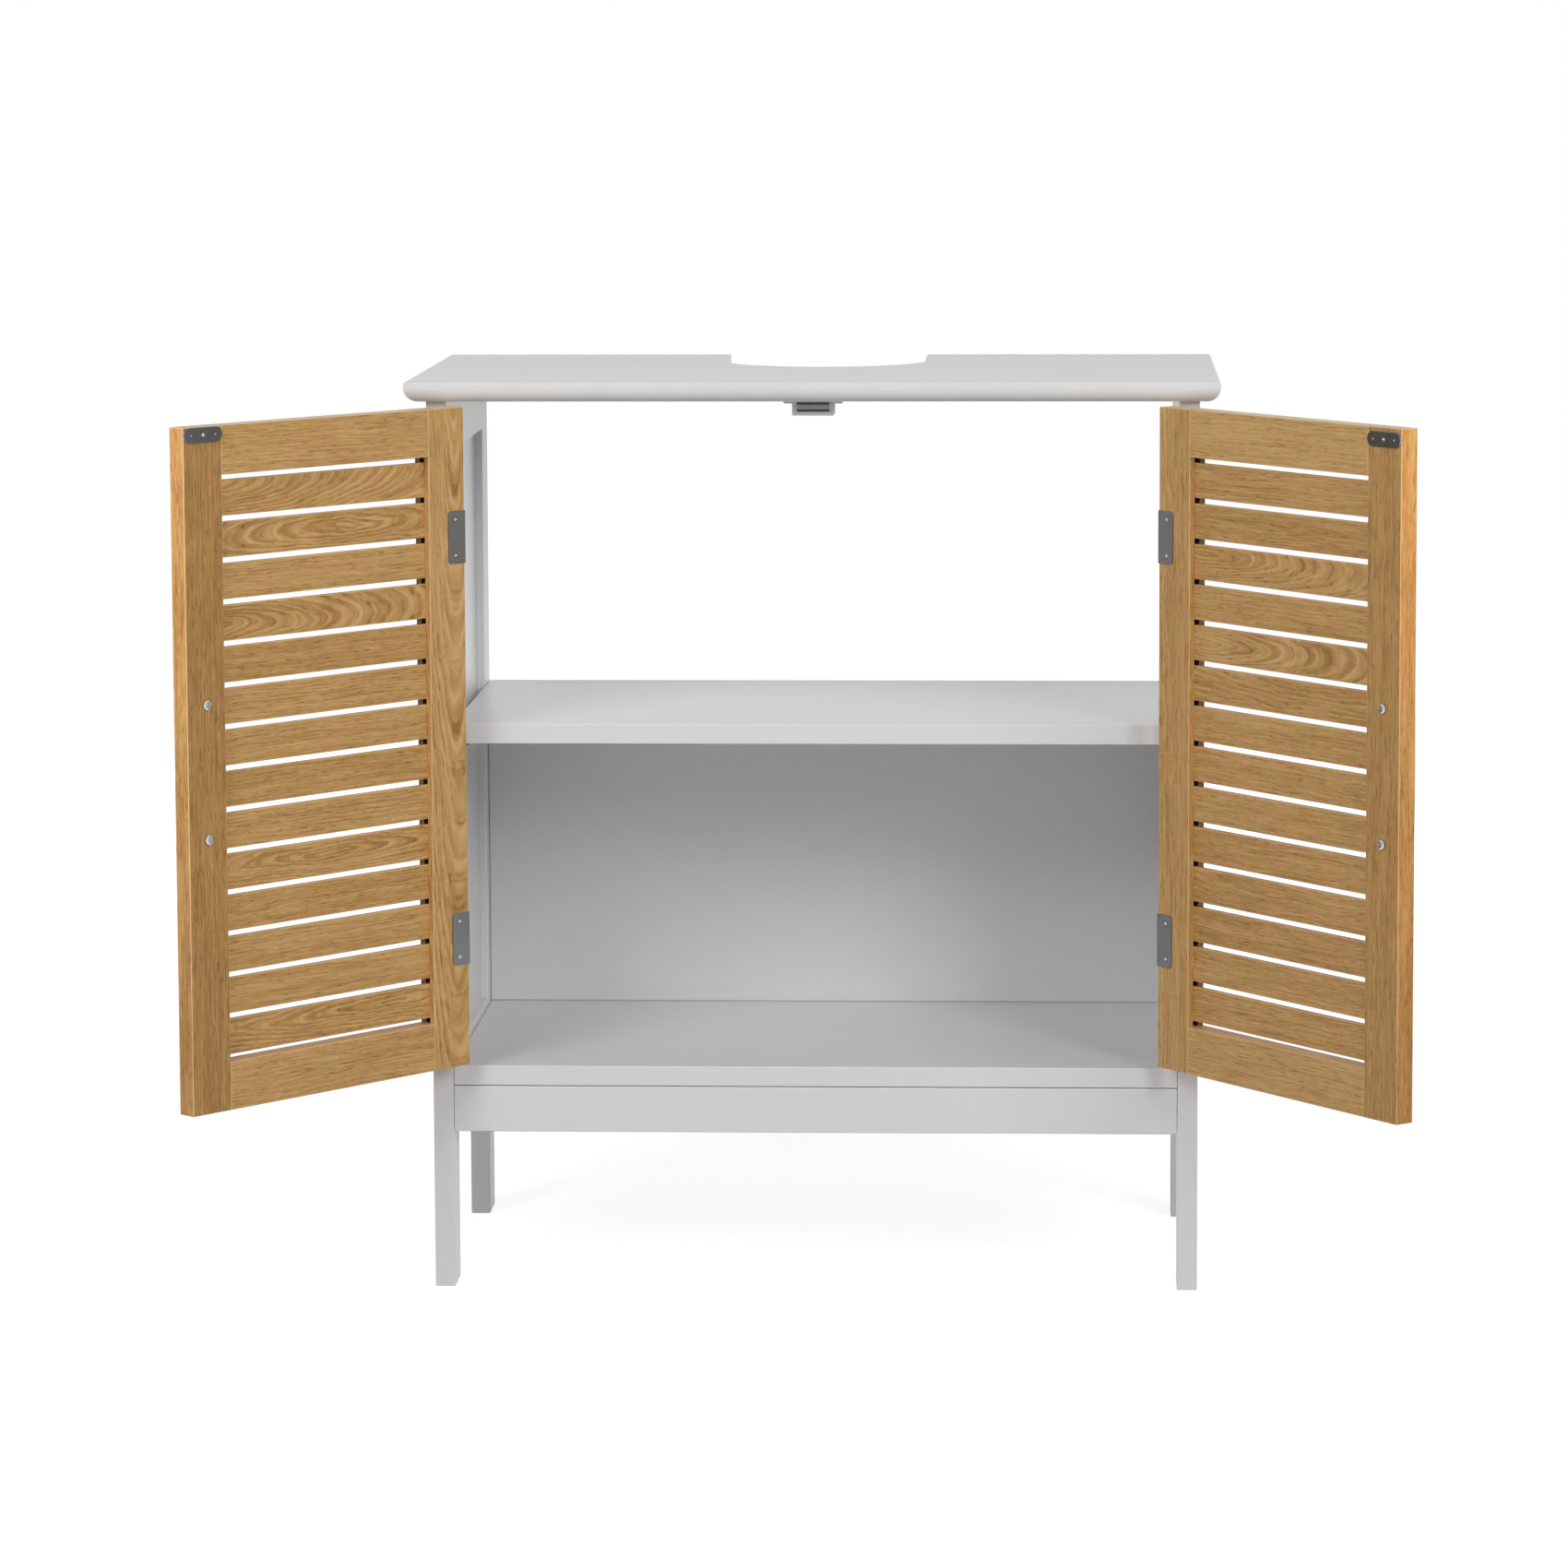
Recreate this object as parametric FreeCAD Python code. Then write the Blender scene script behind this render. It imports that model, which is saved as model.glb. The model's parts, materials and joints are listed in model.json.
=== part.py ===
import FreeCAD, Part
import math
import os

# Under-basin cabinet: a painted frame of four flat posts, a top with a pipe cut-out,
# and two framed doors of horizontal slats, shown standing open.
# Millimetres. +Z is up and the front faces -Y.
# The origin is on the floor, at the centre of the four posts' footprint.

Vector = FreeCAD.Vector
UP = Vector(0, 0, 1)
DOWN = Vector(0, 0, -1)
RIGHT = Vector(1, 0, 0)
BACK = Vector(0, 1, 0)
FRONT = Vector(0, -1, 0)
CENTRE = Vector(0, 0, 0)

PAST = 1.0      # how far a cutting shape reaches past the surface that it opens
NEAR = 1e-6     # two lengths nearer than this are the same
NEAR_EDGE = 1e-3    # and two edges, after a fillet beside them

# ---- Driving dimensions: posts and overall size ----
CABINET_HEIGHT = 680.0          # floor to the upper face of the top
FRAME_WIDTH = 570.0             # over the outer faces of the posts
FRAME_DEPTH = 285.0             # over the front and rear faces of the posts
POST_THICKNESS = 15.0           # posts and side rails, along X
POST_DEPTH = 35.0               # posts, along Y
EASED_EDGE = 0.8                # radius sanded on the edges of every painted board
EASED_SHARE = 0.3               # the most of a board's thickness that such a radius may take

# ---- Driving dimensions: top ----
TOP_THICKNESS = 15.0
TOP_OVERHANG_SIDE = 15.0
TOP_OVERHANG_FRONT = 15.0
TOP_OVERHANG_REAR = 15.0
NOSE_UPPER_RADIUS = 2.0         # small break along the upper edge of the nose
NOSE_LOWER_RADIUS = 11.0        # large round under the nose
NOSE_UPPER_SHARE = 0.15         # the most of the thickness that each round may take
NOSE_LOWER_SHARE = 0.8
NOTCH_WIDTH = 155.0             # pipe cut-out in the rear edge
NOTCH_DEPTH = 146.0
NOTCH_END_RADIUS = 83.0

# ---- Driving dimensions: side frames ----
TOP_RAIL_HEIGHT = 40.0
RAIL_LIP = 5.5                  # lower side rail stands this far above the bottom panel
SIDE_PANEL_THICKNESS = 4.0
SIDE_PANEL_RECESS = 6.0         # inner face of the post to the panel
GROOVE_DEPTH = 6.0
GROOVE_FIT = 0.1                # air on each face of a panel in its groove
GROOVE_BOTTOM_AIR = 0.4         # air past the edge of a panel in its groove

# ---- Driving dimensions: boards between the side frames ----
BOTTOM_PANEL_TOP = 168.0        # height of its upper face above the floor
BOTTOM_PANEL_THICKNESS = 15.0
APRON_HEIGHT = 34.4
APRON_THICKNESS = 15.0
APRON_GAP = 0.6                 # shadow line between the apron and the bottom panel
SHELF_TOP = 423.0               # height of its upper face above the floor
SHELF_THICKNESS = 15.0
SHELF_AIR = 3.0                 # between a closed door and the shelf
BACK_PANEL_THICKNESS = 15.0
BOARD_END_GAP = 0.3             # assembly gap at each end of a board

# ---- Driving dimensions: fasteners of the carcass ----
DOWEL_RADIUS = 3.0
DOWEL_FIT = 0.05
DOWEL_LONG_END = 20.0           # depth in the long grain or edge of a board
DOWEL_SHORT_END = 10.0          # depth in the face of a 15 mm board
DOWEL_END_AIR = 0.8
DOWEL_CHAMFER = 0.8
RAIL_DOWEL_EDGE = 10.0          # lower edge of a rail to its first dowel
RAIL_DOWEL_PITCH = 18.0
RAIL_DOWEL_DEPTH = 14.0         # depth of a rail's dowel in the post, and in the rail
TOP_DOWEL_EDGE = 10.0           # outer edge of a post to its dowel in the top
BOARD_DOWEL_SPREAD = 180.0      # dowels along a long edge stand at this distance from the middle
BACK_DOWEL_EDGE = 60.0          # lower and upper edge of the back panel to its dowels
CAM_RADIUS = 7.5
CAM_HEIGHT = 12.0
CAM_SLOT_WIDTH = 2.4            # screwdriver slot in the lower face of a cam
CAM_SLOT_LENGTH = 9.0
CAM_SLOT_DEPTH = 1.2
CAM_FIT = 0.1
CAM_SETBACK = 24.0              # end of the bottom panel to the middle of a cam
CAM_BOLT_RADIUS = 2.5
CAM_BOLT_HEAD_RADIUS = 3.4
CAM_BOLT_HEAD_LENGTH = 3.0
CAM_BOLT_NECK_LENGTH = 3.0
CAM_BOLT_NECK_RADIUS = 1.75
CAM_BOLT_DEPTH = 11.0           # thread in the post
CAM_BOLT_FIT = 0.15
CAM_FRONT_EDGE = 25.0           # front edge of the bottom panel to a front cam
CAM_REAR_EDGE = 12.5            # rear edge of the bottom panel to a rear cam
SUPPORT_PIN_RADIUS = 2.5
SUPPORT_PIN_DEPTH = 8.0
SUPPORT_PIN_FIT = 0.05
SUPPORT_PLATE = 1.6             # thickness of the plate and tongue of a shelf support
SUPPORT_WIDTH = 10.0
SUPPORT_DROP = 12.0             # height of the plate under the shelf
SUPPORT_TONGUE = 12.0           # length of the tongue under the shelf
SUPPORT_INSET = 6.5             # front edge of the shelf to the middle of a front support
SUPPORT_REAR_INSET = 7.5        # back panel to the middle of a rear support

# ---- Driving dimensions: doors ----
DOOR_THICKNESS = 15.0
DOOR_GAP_TOP = 3.0
DOOR_GAP_BOTTOM = 4.0
DOOR_GAP_CENTRE = 3.0           # between the two closed doors
STILE_WIDTH = 35.0
DOOR_RAIL_HEIGHT = 35.0
SLAT_COUNT = 14
SLAT_HEIGHT = 25.5
SLAT_THICKNESS = 5.0
SLAT_FIT = 0.1
STILE_GROOVE_DEPTH = 8.0
TENON_AIR = 0.4                 # between the end of a tenon or slat and the groove
DOOR_EASED_EDGE = 0.7
LEFT_DOOR_OPEN = 131.0          # degrees from closed, as the cabinet stands
RIGHT_DOOR_OPEN = 128.0

# ---- Driving dimensions: hinges ----
HINGE_HEIGHT = 39.0
HINGE_END_MARGIN = 76.0         # end of the door to the near end of the hinge
LEAF_THICKNESS = 1.0
LEAF_GAP = 0.4                  # between the two leaves of a closed hinge
LEAF_CORNER_RADIUS = 3.0
LEAF_BEND_SHARE = 0.9           # outer radius of the bend, as a share of the leaf's thickness
FRAME_LEAF_DEPTH = 18.0         # front face of the post to the free edge of the leaf
DOOR_LEAF_WIDTH = 16.5          # edge of the door to the free edge of the leaf
MORTISE_DEPTH = 0.5             # of the leaf in the edge of the door
MORTISE_END_AIR = 0.8
KNUCKLE_RADIUS = 2.6
KNUCKLE_PROUD = 3.0             # front face of the door to the hinge axis
KNUCKLE_GAP = 0.3
MIDDLE_KNUCKLE = 14.4           # height of the door leaf's knuckle
HINGE_PIN_RADIUS = 1.4
HINGE_PIN_FIT = 0.05
PIN_HEAD_RADIUS = 2.1
PIN_HEAD_HEIGHT = 0.8
HINGE_SCREW_SPACING = 26.6
FRAME_SCREW_SETBACK = 10.0      # front face of the post to the screws
DOOR_SCREW_SETBACK = 10.0       # edge of the door to the screws
HINGE_SCREW_HEAD_RADIUS = 2.7
HINGE_SCREW_RADIUS = 1.4
HINGE_SCREW_LENGTH = 11.0

# ---- Driving dimensions: screws, handles, catch and strike plates ----
SCREW_FIT = 0.05
SCREW_TIP_RADIUS = 0.3
RECESS_WIDTH = 0.9              # cross recess in the head of a screw
RECESS_DEPTH = 0.9
RECESS_SHARE = 0.62             # reach of the recess, as a share of the head's radius
PAN_HEAD_SHARE = 0.6            # round on a pan head, as a share of its height
HANDLE_SCREW_SPACING = 96.0
HANDLE_WIDTH = 8.0
HANDLE_THICKNESS = 4.0          # of the bar, square to the door
HANDLE_GAP = 8.2                # face of the door to the bar, next to a foot
HANDLE_ARCH = 0.8               # further out at the middle of the bar
HANDLE_FOOT_LENGTH = 11.0       # along the bar, with the screw in its middle
HANDLE_SHOULDER_RADIUS = 9.0    # outside, where the bar turns down into a foot
HANDLE_INSIDE_RADIUS = 5.0
HANDLE_EDGE = 1.5               # round along the edges of the bar and its feet
HANDLE_SCREW_RADIUS = 2.0
HANDLE_SCREW_ENGAGEMENT = 8.0   # length of thread in the handle
HANDLE_SCREW_HEAD_RADIUS = 3.8
HANDLE_SCREW_HEAD_HEIGHT = 2.4
HANDLE_SCREW_END_AIR = 1.0      # past the end of the screw in its blind hole
CATCH_BODY_WIDTH = 31.0
CATCH_BODY_DEPTH = 24.0
CATCH_BODY_HEIGHT = 12.0
CATCH_BODY_EDGE = 0.8           # round along the lower edges of the housing
CATCH_FLANGE_WIDTH = 46.0
CATCH_FLANGE_DEPTH = 13.0
CATCH_FLANGE_THICKNESS = 3.0
CATCH_EAR_SLOPE = 1.6           # the ends of the flange lean in by this much
CATCH_AIR = 0.3                 # strike plate to the pole plates of the catch
CATCH_STACK_DROP = 5.6          # top of the housing to the middle of the magnet
MAGNET_WIDTH = 24.0
MAGNET_DEPTH = 12.0
MAGNET_HEIGHT = 3.6
MAGNET_RECESS = 0.3             # behind the mouth of the housing
POLE_PLATE = 1.6
POLE_PROUD = 0.5
CATCH_FIT = 0.1
CATCH_SCREW_HEAD_RADIUS = 2.1
CATCH_SCREW_RADIUS = 1.2
CATCH_SCREW_LENGTH = 12.0
STRIKE_WIDTH = 35.0
STRIKE_HEIGHT = 11.0
STRIKE_THICKNESS = 1.2
STRIKE_END_SHARE = 0.49         # radius of its ends, as a share of its height
STRIKE_EDGE = 0.4               # round along the rim of the plate
STRIKE_DIMPLE_SPACING = 22.0
STRIKE_DIMPLE_RADIUS = 1.1
STRIKE_DIMPLE_DEPTH = 0.6
LEFT_STRIKE_MARGIN = 0.2        # top edge of the left door to its plate
RIGHT_STRIKE_MARGIN = 2.8       # top edge of the right door to its plate

# ---- Places worked out from the driving dimensions ----
POST_HEIGHT = CABINET_HEIGHT - TOP_THICKNESS
SIDE_OUT = -FRAME_WIDTH / 2                     # outer face of the left posts
SIDE_IN = SIDE_OUT + POST_THICKNESS             # inner face of the left posts
SIDE_MIDDLE = SIDE_OUT + POST_THICKNESS / 2
FACE = -FRAME_DEPTH / 2                         # front face of the posts
REAR = FRAME_DEPTH / 2                          # rear face of the posts
RAIL_FRONT = FACE + POST_DEPTH
RAIL_REAR = REAR - POST_DEPTH
BOTTOM_PANEL_UNDER = BOTTOM_PANEL_TOP - BOTTOM_PANEL_THICKNESS
APRON_TOP = BOTTOM_PANEL_UNDER - APRON_GAP
APRON_UNDER = APRON_TOP - APRON_HEIGHT
LOWER_RAIL_TOP = BOTTOM_PANEL_TOP + RAIL_LIP
TOP_RAIL_UNDER = POST_HEIGHT - TOP_RAIL_HEIGHT
BACK_PANEL_FRONT = REAR - BACK_PANEL_THICKNESS
SHELF_UNDER = SHELF_TOP - SHELF_THICKNESS
SHELF_FRONT = FACE + DOOR_THICKNESS + SHELF_AIR
BOARD_END = SIDE_IN + BOARD_END_GAP             # left end of every board between the side frames

HINGE_SIDE_GAP = 2 * LEAF_THICKNESS + LEAF_GAP - MORTISE_DEPTH
DOOR_HINGE_EDGE = SIDE_IN + HINGE_SIDE_GAP
DOOR_FREE_EDGE = -DOOR_GAP_CENTRE / 2
DOOR_UNDER = BOTTOM_PANEL_TOP + DOOR_GAP_BOTTOM
DOOR_TOP = POST_HEIGHT - DOOR_GAP_TOP
DOOR_INNER_FACE = FACE + DOOR_THICKNESS
DOOR_MIDDLE_DEPTH = FACE + DOOR_THICKNESS / 2
DOOR_MIDDLE_HEIGHT = (DOOR_UNDER + DOOR_TOP) / 2
HINGE_STILE_END = DOOR_HINGE_EDGE + STILE_WIDTH
MEETING_STILE_START = DOOR_FREE_EDGE - STILE_WIDTH
MEETING_STILE_MIDDLE = DOOR_FREE_EDGE - STILE_WIDTH / 2
SLAT_SPACE = DOOR_TOP - DOOR_UNDER - 2 * DOOR_RAIL_HEIGHT
SLAT_GAP = (SLAT_SPACE - SLAT_COUNT * SLAT_HEIGHT) / (SLAT_COUNT + 1)
STILE_GROOVE_WIDTH = SLAT_THICKNESS + 2 * SLAT_FIT

HINGE_AXIS_X = SIDE_IN + LEAF_THICKNESS + LEAF_GAP / 2
HINGE_AXIS_Y = FACE - KNUCKLE_PROUD
HINGE_HEIGHTS = {
    "upper": DOOR_TOP - HINGE_END_MARGIN - HINGE_HEIGHT / 2,
    "lower": DOOR_UNDER + HINGE_END_MARGIN + HINGE_HEIGHT / 2,
}
CATCH_FRONT = DOOR_INNER_FACE + STRIKE_THICKNESS + CATCH_AIR + POLE_PROUD
LEFT_STRIKE_HEIGHT = DOOR_TOP - LEFT_STRIKE_MARGIN - STRIKE_HEIGHT / 2      # middle of each plate
RIGHT_STRIKE_HEIGHT = DOOR_TOP - RIGHT_STRIKE_MARGIN - STRIKE_HEIGHT / 2
CATCH_STACK_MIDDLE = POST_HEIGHT - CATCH_STACK_DROP
CATCH_STACK_REACH = MAGNET_HEIGHT / 2 + POLE_PLATE      # middle of the magnet to the outer face of a plate


# ---- Small tools ----
def block(x0, x1, y0, y1, z0, z1):
    """A box between two opposite corners."""
    return Part.makeBox(x1 - x0, y1 - y0, z1 - z0, Vector(x0, y0, z0))


def rod(radius, start, direction, length):
    """A round rod from a point along a direction."""
    return Part.makeCylinder(radius, length, start, direction)


def ease(solid, radius, wall):
    """Rounds every edge of a plain board, never by more than its wall allows."""
    return solid.makeFillet(min(radius, wall * EASED_SHARE), solid.Edges)


def edges_along(solid, direction):
    """The straight edges of a solid that run along a direction."""
    found = []
    for edge in solid.Edges:
        run = edge.Vertexes[-1].Point.sub(edge.Vertexes[0].Point)
        if run.Length > 0 and run.cross(direction).Length < NEAR * run.Length:
            found.append(edge)
    return found


def ease_along(solid, radius, wall, direction):
    """Rounds only the edges that run along one direction."""
    return solid.makeFillet(min(radius, wall * EASED_SHARE), edges_along(solid, direction))


def mirrored(solid):
    """The same piece on the right-hand side of the cabinet."""
    return solid.mirror(CENTRE, RIGHT)


def placed(solid, point, direction):
    """Moves a piece that is built along +Z at the origin to a point, turned to a direction."""
    turned = solid.copy()
    turned.Placement = FreeCAD.Placement(point, FreeCAD.Rotation(UP, direction))
    return turned


def rounded_plate(width, height, thickness, radius):
    """A flat plate centred on the origin with rounded corners, thick along +Z."""
    plate = block(-width / 2, width / 2, -height / 2, height / 2, 0, thickness)
    return plate.makeFillet(radius, edges_along(plate, UP))


def cross_recess(head_radius, top):
    """The cruciform recess of a screw head, cut down from its top."""
    reach = head_radius * RECESS_SHARE
    half = RECESS_WIDTH / 2
    one = block(-reach, reach, -half, half, top - RECESS_DEPTH, top + PAST)
    other = block(-half, half, -reach, reach, top - RECESS_DEPTH, top + PAST)
    return one.fuse(other)


def countersunk_screw(head_radius, shank_radius, length, recess=True):
    """A flat-headed screw along -Z, with the top of its head in the plane Z = 0."""
    head_depth = head_radius - shank_radius
    head = Part.makeCone(shank_radius, head_radius, head_depth, Vector(0, 0, -head_depth))
    shank = rod(shank_radius, CENTRE, DOWN, length - shank_radius)
    tip = Part.makeCone(shank_radius, SCREW_TIP_RADIUS, shank_radius,
                        Vector(0, 0, shank_radius - length), DOWN)
    screw = head.fuse(shank).fuse(tip).removeSplitter()
    if recess:
        screw = screw.cut(cross_recess(head_radius, 0))
    return screw


def countersunk_hole(head_radius, shank_radius, length):
    """The space that a countersunk screw takes, with a little air round it."""
    return countersunk_screw(head_radius + SCREW_FIT, shank_radius + SCREW_FIT,
                             length + SCREW_FIT, recess=False)


def pan_screw(head_radius, head_height, shank_radius, length):
    """A round-headed screw along -Z, with the underside of its head in the plane Z = 0."""
    head = rod(head_radius, CENTRE, UP, head_height)
    rim = [edge for edge in head.Edges if abs(edge.BoundBox.ZMin - head_height) < NEAR]
    head = head.makeFillet(head_height * PAN_HEAD_SHARE, rim)
    head = head.cut(cross_recess(head_radius, head_height))
    return head.fuse(rod(shank_radius, CENTRE, DOWN, length)).removeSplitter()


def join(solids):
    """One shape that holds several separate solids."""
    return Part.makeCompound(solids)


def fuse_all(solids):
    """One solid from several that touch."""
    return solids[0].multiFuse(solids[1:]).removeSplitter()


# ---- Dowels ----
class Dowel:
    """A dowel across the joint of two boards, and the hole drilled for it."""

    def __init__(self, point, direction, ahead, behind):
        self.start = point - direction * behind
        self.direction = direction
        self.length = ahead + behind

    def peg(self):
        peg = rod(DOWEL_RADIUS, self.start, self.direction, self.length)
        rims = [edge for edge in peg.Edges if edge.Closed]
        return peg.makeChamfer(DOWEL_CHAMFER, rims)

    def hole(self):
        start = self.start - self.direction * DOWEL_END_AIR
        return rod(DOWEL_RADIUS + DOWEL_FIT, start, self.direction, self.length + 2 * DOWEL_END_AIR)


def rail_dowels():
    """The dowels that join the left side rails to their posts."""
    dowels = []
    for under in (APRON_UNDER, TOP_RAIL_UNDER):
        for step in (0, 1):
            height = under + RAIL_DOWEL_EDGE + step * RAIL_DOWEL_PITCH
            for shoulder in (RAIL_FRONT, RAIL_REAR):
                point = Vector(SIDE_MIDDLE, shoulder, height)
                dowels.append(Dowel(point, BACK, RAIL_DOWEL_DEPTH, RAIL_DOWEL_DEPTH))
    return dowels


def top_dowels():
    """The dowels from the left posts up into the top."""
    places = (FACE + TOP_DOWEL_EDGE, REAR - TOP_DOWEL_EDGE)
    return [Dowel(Vector(SIDE_MIDDLE, y, POST_HEIGHT), UP, DOWEL_SHORT_END, DOWEL_LONG_END)
            for y in places]


def apron_end_dowels():
    """The dowel from the left front post into the end of the apron."""
    point = Vector(SIDE_IN, FACE + APRON_THICKNESS / 2, APRON_UNDER + APRON_HEIGHT / 2)
    return [Dowel(point, RIGHT, DOWEL_LONG_END, DOWEL_SHORT_END)]


def apron_edge_dowels():
    """The dowels from the apron up into the bottom panel."""
    y = FACE + APRON_THICKNESS / 2
    return [Dowel(Vector(x, y, BOTTOM_PANEL_UNDER), UP, DOWEL_SHORT_END, DOWEL_LONG_END)
            for x in (-BOARD_DOWEL_SPREAD, 0, BOARD_DOWEL_SPREAD)]


def back_end_dowels():
    """The dowels from the left rear post into the end of the back panel."""
    y = REAR - BACK_PANEL_THICKNESS / 2
    heights = (APRON_UNDER + BACK_DOWEL_EDGE, SHELF_UNDER - BACK_DOWEL_EDGE)
    return [Dowel(Vector(SIDE_IN, y, z), RIGHT, DOWEL_LONG_END, DOWEL_SHORT_END) for z in heights]


def back_edge_dowels():
    """The dowels from the back panel into the rear edge of the bottom panel."""
    z = BOTTOM_PANEL_TOP - BOTTOM_PANEL_THICKNESS / 2
    return [Dowel(Vector(x, BACK_PANEL_FRONT, z), FRONT, DOWEL_LONG_END, DOWEL_SHORT_END)
            for x in (-BOARD_DOWEL_SPREAD, 0, BOARD_DOWEL_SPREAD)]


def pegs(dowels):
    return [dowel.peg() for dowel in dowels]


def both_sides(solids):
    return solids + [mirrored(solid) for solid in solids]


def drill(board, holes):
    """Cuts a list of hole shapes out of a board."""
    return board.cut(Part.makeCompound(holes))


def holes_of(dowels):
    return [dowel.hole() for dowel in dowels]


# ---- Cam fittings of the bottom panel ----
def cam_places():
    """Where the two left cams sit, in plan."""
    x = SIDE_IN + CAM_SETBACK
    return [Vector(x, FACE + CAM_FRONT_EDGE, BOTTOM_PANEL_UNDER),
            Vector(x, BACK_PANEL_FRONT - CAM_REAR_EDGE, BOTTOM_PANEL_UNDER)]


def cam_bolt(place):
    """The bolt that is screwed into a post and held by its cam."""
    z = BOTTOM_PANEL_TOP - BOTTOM_PANEL_THICKNESS / 2
    head_start = place.x - CAM_BOLT_HEAD_LENGTH
    neck_start = head_start - CAM_BOLT_NECK_LENGTH
    thread_start = SIDE_IN - CAM_BOLT_DEPTH
    thread = rod(CAM_BOLT_RADIUS, Vector(thread_start, place.y, z), RIGHT, neck_start - thread_start)
    neck = rod(CAM_BOLT_NECK_RADIUS, Vector(neck_start, place.y, z), RIGHT, CAM_BOLT_NECK_LENGTH)
    head = rod(CAM_BOLT_HEAD_RADIUS, Vector(head_start, place.y, z), RIGHT, CAM_BOLT_HEAD_LENGTH)
    return fuse_all([thread, neck, head])


def cam_bolt_hole(place):
    """The hole for a cam bolt in the post and in the end of the bottom panel."""
    z = BOTTOM_PANEL_TOP - BOTTOM_PANEL_THICKNESS / 2
    start = SIDE_IN - CAM_BOLT_DEPTH - CAM_BOLT_FIT
    in_post = rod(CAM_BOLT_RADIUS + CAM_BOLT_FIT, Vector(start, place.y, z), RIGHT, SIDE_IN - start)
    in_board = rod(CAM_BOLT_HEAD_RADIUS + CAM_BOLT_FIT, Vector(SIDE_IN, place.y, z), RIGHT, CAM_SETBACK)
    return in_post.fuse(in_board)


def cam_lock(place):
    """The round cam that pulls a bolt's head home."""
    cam = rod(CAM_RADIUS, place, UP, CAM_HEIGHT)
    z = BOTTOM_PANEL_TOP - BOTTOM_PANEL_THICKNESS / 2
    room = CAM_BOLT_HEAD_RADIUS + CAM_BOLT_FIT
    channel = block(place.x - CAM_RADIUS - PAST, place.x + CAM_BOLT_FIT,
                    place.y - room, place.y + room, z - room, place.z + CAM_HEIGHT + PAST)
    slot = block(place.x - CAM_SLOT_LENGTH / 2, place.x + CAM_SLOT_LENGTH / 2,
                 place.y - CAM_SLOT_WIDTH / 2, place.y + CAM_SLOT_WIDTH / 2,
                 place.z - PAST, place.z + CAM_SLOT_DEPTH)
    return cam.cut(channel).cut(slot)


def cam_pocket(place):
    """The blind hole for a cam in the underside of the bottom panel."""
    return rod(CAM_RADIUS + CAM_FIT, place + DOWN * PAST, UP, CAM_HEIGHT + CAM_FIT + PAST)


# ---- Shelf supports ----
def support_places():
    """Where the two left supports sit: under the shelf, on the inner face of a post."""
    return [Vector(SIDE_IN, SHELF_FRONT + SUPPORT_INSET, SHELF_UNDER),
            Vector(SIDE_IN, BACK_PANEL_FRONT - SUPPORT_REAR_INSET, SHELF_UNDER)]


def support_pin_height():
    return SHELF_UNDER - SUPPORT_DROP / 2


def shelf_support(place):
    """A steel pin with a flat plate and a tongue that carries the shelf."""
    half = SUPPORT_WIDTH / 2
    plate = block(place.x, place.x + SUPPORT_PLATE, place.y - half, place.y + half,
                  place.z - SUPPORT_DROP, place.z)
    tongue = block(place.x, place.x + SUPPORT_TONGUE, place.y - half, place.y + half,
                   place.z - SUPPORT_PLATE, place.z)
    pin_start = Vector(place.x - SUPPORT_PIN_DEPTH, place.y, support_pin_height())
    pin = rod(SUPPORT_PIN_RADIUS, pin_start, RIGHT, SUPPORT_PIN_DEPTH + SUPPORT_PLATE / 2)
    return fuse_all([plate, tongue, pin])


def support_hole(place):
    """The hole for a support's pin."""
    start = Vector(place.x - SUPPORT_PIN_DEPTH - SUPPORT_PIN_FIT, place.y, support_pin_height())
    return rod(SUPPORT_PIN_RADIUS + SUPPORT_PIN_FIT, start, RIGHT, SUPPORT_PIN_DEPTH + SUPPORT_PIN_FIT)


# ---- Hinges, built for the left door while it is closed ----
def hinge_axis_point(height):
    return Vector(HINGE_AXIS_X, HINGE_AXIS_Y, height)


def knuckle(low, high, radius):
    """A rolled knuckle between two heights on the hinge axis, or the space round it."""
    return rod(radius, hinge_axis_point(low), UP, high - low)


def pin_bore(low):
    """The bore for the pin through the knuckles of a hinge."""
    return rod(HINGE_PIN_RADIUS + HINGE_PIN_FIT, hinge_axis_point(low - PAST), UP,
               HINGE_HEIGHT + 2 * PAST)


def knuckle_levels(middle):
    """The ends of the hinge and of its middle knuckle."""
    low = middle - HINGE_HEIGHT / 2
    high = middle + HINGE_HEIGHT / 2
    return low, middle - MIDDLE_KNUCKLE / 2, middle + MIDDLE_KNUCKLE / 2, high


def frame_leaf_screw_places(middle):
    y = FACE + FRAME_SCREW_SETBACK
    x = SIDE_IN + LEAF_THICKNESS
    return [Vector(x, y, middle + side * HINGE_SCREW_SPACING / 2) for side in (-1, 1)]


def door_leaf_screw_places(middle):
    x = DOOR_HINGE_EDGE + DOOR_SCREW_SETBACK
    y = DOOR_INNER_FACE + LEAF_THICKNESS
    return [Vector(x, y, middle + side * HINGE_SCREW_SPACING / 2) for side in (-1, 1)]


def hinge_screw():
    return countersunk_screw(HINGE_SCREW_HEAD_RADIUS, HINGE_SCREW_RADIUS, HINGE_SCREW_LENGTH)


def hinge_screw_hole():
    return countersunk_hole(HINGE_SCREW_HEAD_RADIUS, HINGE_SCREW_RADIUS, HINGE_SCREW_LENGTH)


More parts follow.
